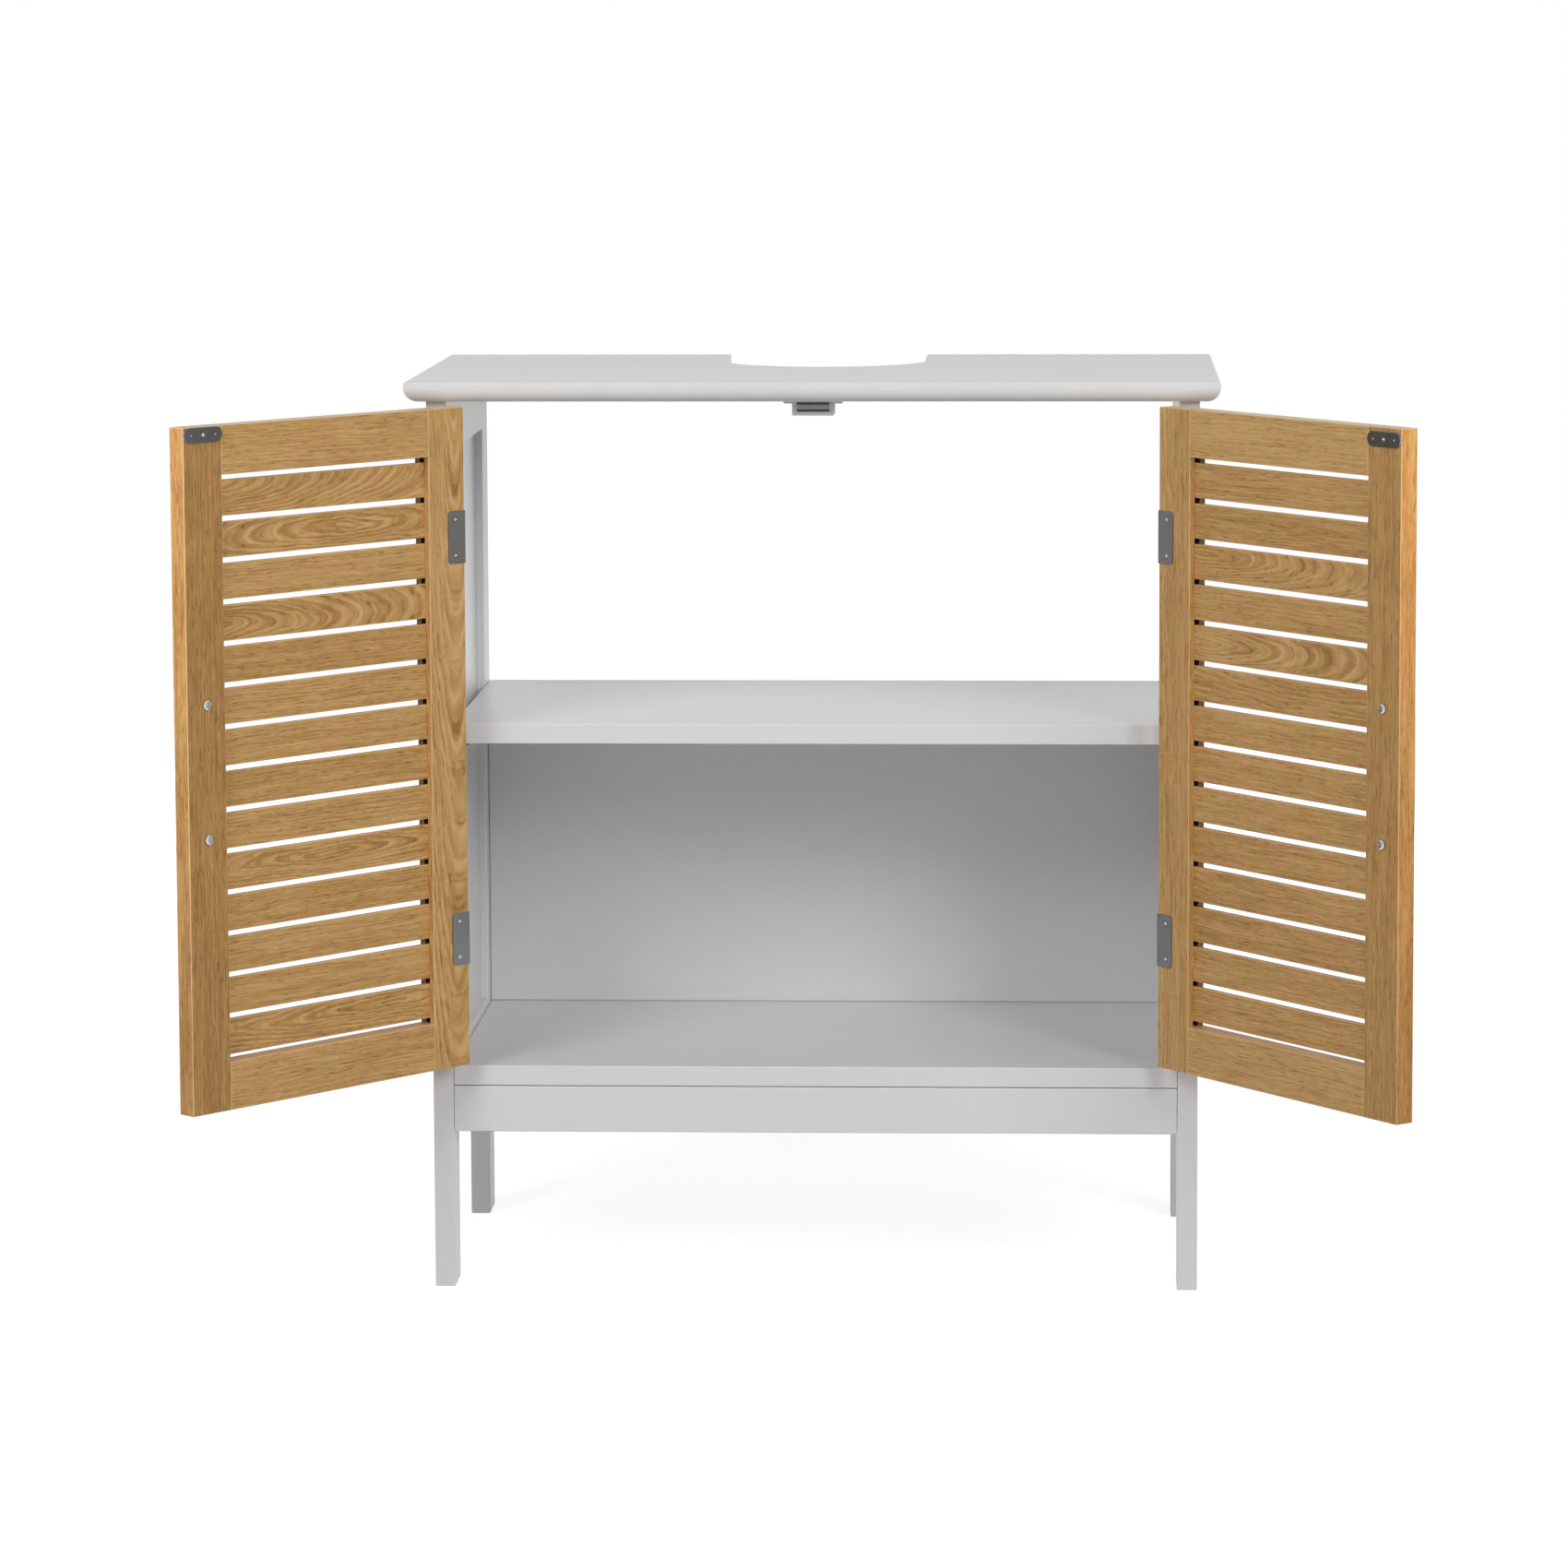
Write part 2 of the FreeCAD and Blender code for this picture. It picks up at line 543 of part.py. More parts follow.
def frame_leaf(middle):
    """The hinge leaf on the inner face of the post, with the two outer knuckles."""
    low, middle_low, middle_high, high = knuckle_levels(middle)
    plate = block(SIDE_IN, SIDE_IN + LEAF_THICKNESS, HINGE_AXIS_Y, FACE + FRAME_LEAF_DEPTH, low, high)
    corners = [edge for edge in edges_along(plate, RIGHT)
               if edge.BoundBox.YMin > FACE + FRAME_LEAF_DEPTH - NEAR]
    plate = plate.makeFillet(LEAF_CORNER_RADIUS, corners)
    leaf = fuse_all([plate,
                     knuckle(low, middle_low - KNUCKLE_GAP, KNUCKLE_RADIUS),
                     knuckle(middle_high + KNUCKLE_GAP, high, KNUCKLE_RADIUS)])
    leaf = leaf.cut(pin_bore(low))
    leaf = leaf.cut(knuckle(middle_low - KNUCKLE_GAP, middle_high + KNUCKLE_GAP,
                            KNUCKLE_RADIUS + KNUCKLE_GAP))
    holes = [placed(hinge_screw_hole(), place, RIGHT) for place in frame_leaf_screw_places(middle)]
    return drill(leaf, holes)


def door_leaf(middle):
    """The hinge leaf that wraps round the edge of the door, with the middle knuckle."""
    low, middle_low, middle_high, high = knuckle_levels(middle)
    seat = DOOR_HINGE_EDGE + MORTISE_DEPTH
    edge_plate = block(seat - LEAF_THICKNESS, seat, HINGE_AXIS_Y,
                       DOOR_INNER_FACE + LEAF_THICKNESS, low, high)
    face_plate = block(seat - LEAF_THICKNESS, DOOR_HINGE_EDGE + DOOR_LEAF_WIDTH,
                       DOOR_INNER_FACE, DOOR_INNER_FACE + LEAF_THICKNESS, low, high)
    corners = [edge for edge in edges_along(face_plate, BACK)
               if edge.BoundBox.XMin > DOOR_HINGE_EDGE + DOOR_LEAF_WIDTH - NEAR]
    face_plate = face_plate.makeFillet(LEAF_CORNER_RADIUS, corners)
    wrap = edge_plate.fuse(face_plate).removeSplitter()
    bend = [edge for edge in edges_along(wrap, UP)
            if edge.BoundBox.XMax < seat - LEAF_THICKNESS + NEAR
            and edge.BoundBox.YMin > DOOR_INNER_FACE + LEAF_THICKNESS - NEAR]
    wrap = wrap.makeFillet(LEAF_THICKNESS * LEAF_BEND_SHARE, bend)
    for start, end in ((low - PAST, middle_low), (middle_high, high + PAST)):
        wrap = wrap.cut(knuckle(start, end, KNUCKLE_RADIUS + KNUCKLE_GAP))
    leaf = wrap.fuse(knuckle(middle_low, middle_high, KNUCKLE_RADIUS)).removeSplitter()
    leaf = leaf.cut(pin_bore(low))
    holes = [placed(hinge_screw_hole(), place, BACK) for place in door_leaf_screw_places(middle)]
    return drill(leaf, holes)


def hinge_pin(middle):
    """The pin through the three knuckles, with a head at each end."""
    low, _, _, high = knuckle_levels(middle)
    pin = rod(HINGE_PIN_RADIUS, hinge_axis_point(low), UP, HINGE_HEIGHT)
    upper_head = rod(PIN_HEAD_RADIUS, hinge_axis_point(high), UP, PIN_HEAD_HEIGHT)
    lower_head = rod(PIN_HEAD_RADIUS, hinge_axis_point(low), DOWN, PIN_HEAD_HEIGHT)
    return fuse_all([pin, upper_head, lower_head])


def hinge_mortise(middle):
    """The shallow seat of a door leaf in the edge of the door."""
    reach = HINGE_HEIGHT / 2 + MORTISE_END_AIR
    return block(DOOR_HINGE_EDGE - PAST, DOOR_HINGE_EDGE + MORTISE_DEPTH,
                 FACE - PAST, DOOR_INNER_FACE + PAST, middle - reach, middle + reach)


# ---- Carcass ----
def top_outline():
    """The wire of the top in plan, with the pipe cut-out in its rear edge."""
    side = SIDE_OUT - TOP_OVERHANG_SIDE
    front = FACE - TOP_OVERHANG_FRONT
    rear = REAR + TOP_OVERHANG_REAR
    half = NOTCH_WIDTH / 2
    radius = max(NOTCH_END_RADIUS, half)
    arc_centre = rear - NOTCH_DEPTH + radius
    shoulder = arc_centre - math.sqrt(radius * radius - half * half)
    corners = [(half, shoulder), (half, rear), (-side, rear), (-side, front),
               (side, front), (side, rear), (-half, rear), (-half, shoulder)]
    points = [Vector(x, y, POST_HEIGHT) for x, y in corners]
    edges = [Part.makeLine(a, b) for a, b in zip(points, points[1:])]
    deepest = Vector(0, rear - NOTCH_DEPTH, POST_HEIGHT)
    edges.append(Part.Arc(points[-1], deepest, points[0]).toShape())
    return Part.Wire(edges)


def top_panel():
    """The top: a nose on three sides and a square rear edge with the pipe cut-out."""
    board = Part.Face(top_outline()).extrude(UP * TOP_THICKNESS)
    rear = REAR + TOP_OVERHANG_REAR
    nose = [edge for edge in board.Edges
            if edge.BoundBox.ZLength < NEAR
            and (edge.BoundBox.XLength < NEAR or edge.BoundBox.YLength < NEAR)
            and edge.BoundBox.YMax < rear + NEAR and edge.BoundBox.YMin < rear - NEAR
            and max(abs(edge.BoundBox.XMin), abs(edge.BoundBox.XMax)) > NOTCH_WIDTH / 2 + NEAR]
    upper = [edge for edge in nose if edge.BoundBox.ZMin > CABINET_HEIGHT - NEAR]
    lower = [edge for edge in nose if edge.BoundBox.ZMax < POST_HEIGHT + NEAR]
    board = board.makeFillet(min(NOSE_LOWER_RADIUS, TOP_THICKNESS * NOSE_LOWER_SHARE), lower)
    upper = [edge for edge in board.Edges
             for wanted in upper
             if edge.BoundBox.Center.distanceToPoint(wanted.BoundBox.Center) < NEAR_EDGE
             and abs(edge.Length - wanted.Length) < NEAR_EDGE]
    board = board.makeFillet(min(NOSE_UPPER_RADIUS, TOP_THICKNESS * NOSE_UPPER_SHARE), upper)
    holes = both_sides(holes_of(top_dowels())) + catch_screw_holes()
    return drill(board, holes)


def panel_groove():
    """The space that the left side panel's edges take in the posts and rails."""
    x1 = SIDE_IN - SIDE_PANEL_RECESS + GROOVE_FIT
    x0 = SIDE_IN - SIDE_PANEL_RECESS - SIDE_PANEL_THICKNESS - GROOVE_FIT
    return block(x0, x1, RAIL_FRONT - GROOVE_DEPTH, RAIL_REAR + GROOVE_DEPTH,
                 LOWER_RAIL_TOP - GROOVE_DEPTH, TOP_RAIL_UNDER + GROOVE_DEPTH)


def side_panel():
    """The thin panel held in the grooves of a side frame."""
    tongue = GROOVE_DEPTH - GROOVE_BOTTOM_AIR
    x1 = SIDE_IN - SIDE_PANEL_RECESS
    return block(x1 - SIDE_PANEL_THICKNESS, x1, RAIL_FRONT - tongue, RAIL_REAR + tongue,
                 LOWER_RAIL_TOP - tongue, TOP_RAIL_UNDER + tongue)


def post(front, extra_holes):
    """A left post: eased edges, a groove for the side panel, and its drilled holes."""
    board = ease(block(SIDE_OUT, SIDE_IN, front, front + POST_DEPTH, 0, POST_HEIGHT),
                 EASED_EDGE, POST_THICKNESS)
    return drill(board.cut(panel_groove()), extra_holes)


def post_holes():
    """The holes that any left post may meet."""
    holes = holes_of(rail_dowels() + top_dowels())
    holes += [cam_bolt_hole(place) for place in cam_places()]
    holes += [support_hole(place) for place in support_places()]
    return holes


def front_post():
    holes = post_holes() + holes_of(apron_end_dowels())
    for middle in HINGE_HEIGHTS.values():
        holes += [placed(hinge_screw_hole(), place, RIGHT) for place in frame_leaf_screw_places(middle)]
    return post(FACE, holes)


def rear_post():
    return post(REAR - POST_DEPTH, post_holes() + holes_of(back_end_dowels()))


def side_rail(under, top):
    """A left side rail between two posts."""
    board = ease(block(SIDE_OUT, SIDE_IN, RAIL_FRONT, RAIL_REAR, under, top),
                 EASED_EDGE, POST_THICKNESS)
    return drill(board.cut(panel_groove()), holes_of(rail_dowels()))


def bottom_panel():
    """The bottom panel, with cam pockets in its underside and dowels in its rear edge."""
    board = ease(block(BOARD_END, -BOARD_END, FACE, BACK_PANEL_FRONT,
                       BOTTOM_PANEL_UNDER, BOTTOM_PANEL_TOP),
                 EASED_EDGE, BOTTOM_PANEL_THICKNESS)
    fittings = [cam_pocket(place) for place in cam_places()]
    fittings += [cam_bolt_hole(place) for place in cam_places()]
    return drill(board, both_sides(fittings) + holes_of(apron_edge_dowels() + back_edge_dowels()))


def front_apron():
    """The apron under the front edge of the bottom panel."""
    board = ease(block(BOARD_END, -BOARD_END, FACE, FACE + APRON_THICKNESS, APRON_UNDER, APRON_TOP),
                 EASED_EDGE, APRON_THICKNESS)
    return drill(board, both_sides(holes_of(apron_end_dowels())) + holes_of(apron_edge_dowels()))


def back_panel():
    """The back panel between the rear posts, from the apron's level up to the shelf."""
    board = ease(block(BOARD_END, -BOARD_END, BACK_PANEL_FRONT, REAR, APRON_UNDER, SHELF_UNDER),
                 EASED_EDGE, BACK_PANEL_THICKNESS)
    return drill(board, both_sides(holes_of(back_end_dowels())) + holes_of(back_edge_dowels()))


def shelf():
    return ease(block(BOARD_END, -BOARD_END, SHELF_FRONT, REAR, SHELF_UNDER, SHELF_TOP),
                EASED_EDGE, SHELF_THICKNESS)


# ---- Magnetic catch ----
def catch_screw_places():
    """Where the two screws go through the ears of the flange."""
    x = (CATCH_BODY_WIDTH / 2 + CATCH_FLANGE_WIDTH / 2 - CATCH_EAR_SLOPE) / 2
    y = CATCH_FRONT + CATCH_FLANGE_DEPTH / 2
    return [Vector(side * x, y, POST_HEIGHT - CATCH_FLANGE_THICKNESS) for side in (-1, 1)]


def catch_screw_holes():
    hole = countersunk_hole(CATCH_SCREW_HEAD_RADIUS, CATCH_SCREW_RADIUS, CATCH_SCREW_LENGTH)
    return [placed(hole, place, DOWN) for place in catch_screw_places()]


def catch_screws():
    screw = countersunk_screw(CATCH_SCREW_HEAD_RADIUS, CATCH_SCREW_RADIUS, CATCH_SCREW_LENGTH)
    return [placed(screw, place, DOWN) for place in catch_screw_places()]


def catch_flange():
    """The flange under the top, with an ear for a screw past each end of the housing."""
    half = CATCH_FLANGE_WIDTH / 2
    low = POST_HEIGHT - CATCH_FLANGE_THICKNESS
    outline = [Vector(-half, CATCH_FRONT, POST_HEIGHT), Vector(half, CATCH_FRONT, POST_HEIGHT),
               Vector(half - CATCH_EAR_SLOPE, CATCH_FRONT, low),
               Vector(CATCH_EAR_SLOPE - half, CATCH_FRONT, low)]
    return Part.Face(Part.makePolygon(outline + outline[:1])).extrude(BACK * CATCH_FLANGE_DEPTH)


def catch_housing():
    """The plastic housing under the top, open towards the doors."""
    under = POST_HEIGHT - CATCH_BODY_HEIGHT
    body = block(-CATCH_BODY_WIDTH / 2, CATCH_BODY_WIDTH / 2,
                 CATCH_FRONT, CATCH_FRONT + CATCH_BODY_DEPTH, under, POST_HEIGHT)
    lower_edges = [edge for edge in body.Edges if edge.BoundBox.ZMax < under + NEAR]
    body = body.makeFillet(CATCH_BODY_EDGE, lower_edges)
    housing = body.fuse(catch_flange()).removeSplitter()
    half = MAGNET_WIDTH / 2 + CATCH_FIT
    reach = CATCH_STACK_REACH + CATCH_FIT
    cavity = block(-half, half, CATCH_FRONT - PAST, CATCH_FRONT + MAGNET_DEPTH + CATCH_FIT,
                   CATCH_STACK_MIDDLE - reach, CATCH_STACK_MIDDLE + reach)
    return drill(housing.cut(cavity), catch_screw_holes())


def catch_magnet():
    half = MAGNET_HEIGHT / 2
    return block(-MAGNET_WIDTH / 2, MAGNET_WIDTH / 2,
                 CATCH_FRONT + MAGNET_RECESS, CATCH_FRONT + MAGNET_DEPTH,
                 CATCH_STACK_MIDDLE - half, CATCH_STACK_MIDDLE + half)


def catch_pole_plates():
    """The steel plates over and under the magnet, a little proud of the housing."""
    plates = []
    for low in (CATCH_STACK_MIDDLE + MAGNET_HEIGHT / 2, CATCH_STACK_MIDDLE - CATCH_STACK_REACH):
        plates.append(block(-MAGNET_WIDTH / 2, MAGNET_WIDTH / 2, CATCH_FRONT - POLE_PROUD,
                            CATCH_FRONT + MAGNET_DEPTH, low, low + POLE_PLATE))
    return plates


# ---- Doors, built for the left-hand side while closed ----
def door_groove(x0, x1):
    """The groove along the inner edge of a stile, from end to end."""
    half = STILE_GROOVE_WIDTH / 2
    return block(x0, x1, DOOR_MIDDLE_DEPTH - half, DOOR_MIDDLE_DEPTH + half,
                 DOOR_UNDER - PAST, DOOR_TOP + PAST)


def hinge_stile():
    """The stile that carries the hinges."""
    board = ease(block(DOOR_HINGE_EDGE, HINGE_STILE_END, FACE, DOOR_INNER_FACE, DOOR_UNDER, DOOR_TOP),
                 DOOR_EASED_EDGE, DOOR_THICKNESS)
    board = board.cut(door_groove(HINGE_STILE_END - STILE_GROOVE_DEPTH, HINGE_STILE_END + PAST))
    cuts = []
    for middle in HINGE_HEIGHTS.values():
        cuts.append(hinge_mortise(middle))
        cuts += [placed(hinge_screw_hole(), place, BACK) for place in door_leaf_screw_places(middle)]
    return drill(board, cuts)


def meeting_stile(strike_height):
    """The stile at the free edge, with the handle and the strike plate."""
    board = ease(block(MEETING_STILE_START, DOOR_FREE_EDGE, FACE, DOOR_INNER_FACE,
                       DOOR_UNDER, DOOR_TOP), DOOR_EASED_EDGE, DOOR_THICKNESS)
    board = board.cut(door_groove(MEETING_STILE_START - PAST,
                                  MEETING_STILE_START + STILE_GROOVE_DEPTH))
    cuts = [rod(HANDLE_SCREW_RADIUS + SCREW_FIT, place + FRONT * PAST, BACK,
                DOOR_THICKNESS + 2 * PAST)
            for place in handle_places()]
    cuts.append(placed(strike_screw_hole(), strike_place(strike_height), BACK))
    return drill(board, cuts)


def door_rail(under):
    """A top or bottom rail of the door, with a stub tenon at each end."""
    board = ease(block(HINGE_STILE_END, MEETING_STILE_START, FACE, DOOR_INNER_FACE,
                       under, under + DOOR_RAIL_HEIGHT), DOOR_EASED_EDGE, DOOR_THICKNESS)
    tenon = STILE_GROOVE_DEPTH - TENON_AIR
    half = SLAT_THICKNESS / 2
    overlap = DOOR_EASED_EDGE * 2
    for x0, x1 in ((HINGE_STILE_END - tenon, HINGE_STILE_END + overlap),
                   (MEETING_STILE_START - overlap, MEETING_STILE_START + tenon)):
        board = board.fuse(block(x0, x1, DOOR_MIDDLE_DEPTH - half, DOOR_MIDDLE_DEPTH + half,
                                 under, under + DOOR_RAIL_HEIGHT))
    return board.removeSplitter()


def slats():
    """The horizontal slats, each with its ends in the grooves of the stiles."""
    tongue = STILE_GROOVE_DEPTH - TENON_AIR
    half = SLAT_THICKNESS / 2
    under = DOOR_UNDER + DOOR_RAIL_HEIGHT + SLAT_GAP
    first = block(HINGE_STILE_END - tongue, MEETING_STILE_START + tongue,
                  DOOR_MIDDLE_DEPTH - half, DOOR_MIDDLE_DEPTH + half, under, under + SLAT_HEIGHT)
    first = ease_along(first, DOOR_EASED_EDGE, SLAT_THICKNESS, RIGHT)
    made = []
    for number in range(SLAT_COUNT):
        slat = first.copy()
        slat.translate(UP * (number * (SLAT_HEIGHT + SLAT_GAP)))
        made.append(slat)
    return made


def handle_places():
    """Where the two screws of the handle come through the front face of the door."""
    return [Vector(MEETING_STILE_MIDDLE, FACE, DOOR_MIDDLE_HEIGHT + side * HANDLE_SCREW_SPACING / 2)
            for side in (-1, 1)]


def handle_profile():
    """The face of the handle seen from the side: an arched bar between two feet."""
    end = (HANDLE_SCREW_SPACING + HANDLE_FOOT_LENGTH) / 2
    inside = end - HANDLE_FOOT_LENGTH
    shoulder = HANDLE_GAP + HANDLE_THICKNESS

    def point(height, out):
        return Vector(MEETING_STILE_MIDDLE - HANDLE_WIDTH / 2, FACE - out, DOOR_MIDDLE_HEIGHT + height)

    outer = Part.Arc(point(end, shoulder), point(0, shoulder + HANDLE_ARCH), point(-end, shoulder))
    inner = Part.Arc(point(-inside, HANDLE_GAP), point(0, HANDLE_GAP + HANDLE_ARCH),
                     point(inside, HANDLE_GAP))
    return Part.Face(Part.Wire([
        Part.makeLine(point(end, 0), point(end, shoulder)),
        outer.toShape(),
        Part.makeLine(point(-end, shoulder), point(-end, 0)),
        Part.makeLine(point(-end, 0), point(-inside, 0)),
        Part.makeLine(point(-inside, 0), point(-inside, HANDLE_GAP)),
        inner.toShape(),
        Part.makeLine(point(inside, HANDLE_GAP), point(inside, 0)),
        Part.makeLine(point(inside, 0), point(end, 0)),
    ]))


def handle():
    """A low bow handle: its bar turns down into a foot at each screw."""
    bow = handle_profile().extrude(RIGHT * HANDLE_WIDTH)
    corners = [edge for edge in edges_along(bow, RIGHT) if edge.BoundBox.YMax < FACE - NEAR]
    out = FACE - HANDLE_GAP - HANDLE_THICKNESS / 2
    bow = bow.makeFillet(HANDLE_INSIDE_RADIUS, [edge for edge in corners if edge.BoundBox.YMin > out])
    shoulders = [edge for edge in edges_along(bow, RIGHT)
                 if edge.BoundBox.YMax < out and abs(edge.Length - HANDLE_WIDTH) < NEAR]
    bow = bow.makeFillet(HANDLE_SHOULDER_RADIUS, shoulders)
    sides = [edge for edge in bow.Edges
             if edge.BoundBox.XLength < NEAR and edge.BoundBox.YMin < FACE - NEAR]
    bow = bow.makeFillet(HANDLE_EDGE, sides)
    bores = [rod(HANDLE_SCREW_RADIUS + SCREW_FIT, place + BACK * PAST, FRONT,
                 PAST + HANDLE_SCREW_ENGAGEMENT + HANDLE_SCREW_END_AIR)
             for place in handle_places()]
    return drill(bow, bores)


def handle_screws():
    screw = pan_screw(HANDLE_SCREW_HEAD_RADIUS, HANDLE_SCREW_HEAD_HEIGHT, HANDLE_SCREW_RADIUS,
                      DOOR_THICKNESS + HANDLE_SCREW_ENGAGEMENT)
    return [placed(screw, place + BACK * DOOR_THICKNESS, BACK) for place in handle_places()]


def strike_place(height):
    """The outer face of a strike plate, at its screw."""
    return Vector(MEETING_STILE_MIDDLE, DOOR_INNER_FACE + STRIKE_THICKNESS, height)


def strike_screw_hole():
    return countersunk_hole(HINGE_SCREW_HEAD_RADIUS, HINGE_SCREW_RADIUS, HINGE_SCREW_LENGTH)


def strike_plate(height):
    """The oblong steel plate that the catch holds, with a pressed dimple each side of its screw."""
    plate = rounded_plate(STRIKE_WIDTH, STRIKE_HEIGHT, STRIKE_THICKNESS,
                          STRIKE_HEIGHT * STRIKE_END_SHARE)
    rim = [edge for edge in plate.Edges if edge.BoundBox.ZMin > STRIKE_THICKNESS - NEAR]
    plate = plate.makeFillet(STRIKE_EDGE, rim)
    for side in (-1, 1):
        mouth = Vector(side * STRIKE_DIMPLE_SPACING / 2, 0, STRIKE_THICKNESS)
        plate = plate.cut(Part.makeCone(STRIKE_DIMPLE_RADIUS, 0, STRIKE_DIMPLE_DEPTH, mouth, DOWN))
    plate.rotate(CENTRE, RIGHT, -90)
    plate.translate(strike_place(height) + FRONT * STRIKE_THICKNESS)
    return plate.cut(placed(strike_screw_hole(), strike_place(height), BACK))


def strike_screw(height):
    return placed(hinge_screw(), strike_place(height), BACK)


def door_hinge_screws():
    screws = []
    for middle in HINGE_HEIGHTS.values():
        screws += [placed(hinge_screw(), place, BACK) for place in door_leaf_screw_places(middle)]
    return screws


def door_pieces(strike_height):
    """Every piece of a door, by the end of its node's name."""
    pieces = {
        "hinge_stile": hinge_stile(),
        "meeting_stile": meeting_stile(strike_height),
        "top_rail": door_rail(DOOR_TOP - DOOR_RAIL_HEIGHT),
        "bottom_rail": door_rail(DOOR_UNDER),
        "slats": join(slats()),
        "handle": handle(),
        "handle_screws": join(handle_screws()),
        "strike_plate": strike_plate(strike_height),
        "strike_screw": strike_screw(strike_height),
        "hinge_screws": join(door_hinge_screws()),
    }
    for level, middle in HINGE_HEIGHTS.items():
        pieces[level + "_hinge_leaf"] = door_leaf(middle)
    return pieces


# ---- The whole cabinet ----
def carcass_pieces():
    """Every piece that stands still."""
    pieces = {
        "top_panel": top_panel(),
        "bottom_panel": bottom_panel(),
        "front_apron": front_apron(),
        "back_panel": back_panel(),
        "shelf": shelf(),
        "side_frame_dowels": join(both_sides(pegs(rail_dowels()))),
        "top_dowels": join(both_sides(pegs(top_dowels()))),
        "apron_dowels": join(both_sides(pegs(apron_end_dowels())) + pegs(apron_edge_dowels())),
        "back_panel_dowels": join(both_sides(pegs(back_end_dowels())) + pegs(back_edge_dowels())),
        "cam_bolts": join(both_sides([cam_bolt(place) for place in cam_places()])),
        "cam_locks": join(both_sides([cam_lock(place) for place in cam_places()])),
        "shelf_supports": join(both_sides([shelf_support(place) for place in support_places()])),
        "catch_housing": catch_housing(),
        "catch_magnet": catch_magnet(),
        "catch_pole_plates": join(catch_pole_plates()),
        "catch_screws": join(catch_screws()),
    }
    side = {
        "front_post": front_post(),
        "rear_post": rear_post(),
        "side_top_rail": side_rail(TOP_RAIL_UNDER, POST_HEIGHT),
        "side_bottom_rail": side_rail(APRON_UNDER, LOWER_RAIL_TOP),
        "side_panel": side_panel(),
    }
    for level, middle in HINGE_HEIGHTS.items():
        side[level + "_hinge_frame_leaf"] = frame_leaf(middle)
    for name, solid in side.items():
        pieces["left_" + name] = solid
        pieces["right_" + name] = mirrored(solid)
    pins = [hinge_pin(middle) for middle in HINGE_HEIGHTS.values()]
    pieces["hinge_pins"] = join(both_sides(pins))
    screws = []
    for middle in HINGE_HEIGHTS.values():
        screws += [placed(hinge_screw(), place, RIGHT) for place in frame_leaf_screw_places(middle)]
    pieces["frame_hinge_screws"] = join(both_sides(screws))
    return pieces


def opened(solid, side, angle):
    """Turns a closed door's piece about its hinge axis. side is -1 for left and 1 for right."""
    turned = solid.copy()
    turned.rotate(Vector(-side * HINGE_AXIS_X, HINGE_AXIS_Y, 0), UP, side * angle)
    return turned


def cabinet():
    """Every node of the cabinet by name, with the doors standing open."""
    nodes = carcass_pieces()
    for name, solid in door_pieces(LEFT_STRIKE_HEIGHT).items():
        nodes["left_door_" + name] = opened(solid, -1, LEFT_DOOR_OPEN)
    for name, solid in door_pieces(RIGHT_STRIKE_HEIGHT).items():
        nodes["right_door_" + name] = opened(mirrored(solid), 1, RIGHT_DOOR_OPEN)
    return nodes


os.makedirs("parts", exist_ok=True)
for node_name, node_shape in cabinet().items():
    node_shape.exportStep("parts/" + node_name + ".step")
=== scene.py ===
"""Louvred door cabinet: finishes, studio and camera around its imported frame, in metres."""

import json
import math

import bpy
from bpy.props import FloatProperty, FloatVectorProperty, PointerProperty
from mathutils import Matrix, Vector


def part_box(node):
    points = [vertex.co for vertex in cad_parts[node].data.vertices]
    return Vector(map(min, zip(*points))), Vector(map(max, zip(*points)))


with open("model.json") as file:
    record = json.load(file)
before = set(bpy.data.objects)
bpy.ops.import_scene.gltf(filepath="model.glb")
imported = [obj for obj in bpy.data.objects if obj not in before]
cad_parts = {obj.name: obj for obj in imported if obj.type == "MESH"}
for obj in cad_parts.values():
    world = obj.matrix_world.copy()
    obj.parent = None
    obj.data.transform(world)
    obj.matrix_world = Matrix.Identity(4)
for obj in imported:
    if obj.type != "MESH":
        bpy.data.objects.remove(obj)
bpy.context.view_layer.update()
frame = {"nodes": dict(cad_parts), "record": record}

bl_info = {
    "name": "Louvred Door Cabinet",
    "version": (1, 0, 0),
    "blender": (4, 5, 0),
    "location": "View3D > Sidebar > Cabinet",
    "description": "Finishes and lights a small cabinet with a pair of slatted oak doors",
    "category": "Object",
}

MM = 0.001
SIDES = ("left", "right")
WHITE = (1.0, 1.0, 1.0)
# Pieces of a door with a finish of their own, with wear and painted glints, and not the plain one
# of their slot.
WORN_GLINTING_PIECES = ("door_strike_plate", "door_strike_screw", "door_hinge_screws")


# ---------------------------------------------------------------- settings
def colour(name, description, default):
    """A colour that a user can change, in linear values."""
    return FloatVectorProperty(name=name, description=description, subtype="COLOR",
                               size=3, min=0.0, max=1.0, default=default)


def multiplier(name, description, default):
    """How much of each primary a strip shows against the wood beside it."""
    return FloatVectorProperty(name=name, description=description, subtype="XYZ",
                               size=3, min=0.0, max=3.0, default=default)


def length(name, description, default):
    """A length that a user can change, in metres."""
    return FloatProperty(name=name, description=description, subtype="DISTANCE",
                         unit="LENGTH", min=0.0, default=default)


def share(name, description, default):
    """A number from nothing to one."""
    return FloatProperty(name=name, description=description, subtype="FACTOR",
                         min=0.0, max=1.0, default=default)


def power(name, description, default):
    """The power of a lamp, in watts."""
    return FloatProperty(name=name, description=description, unit="POWER",
                         min=0.0, default=default)


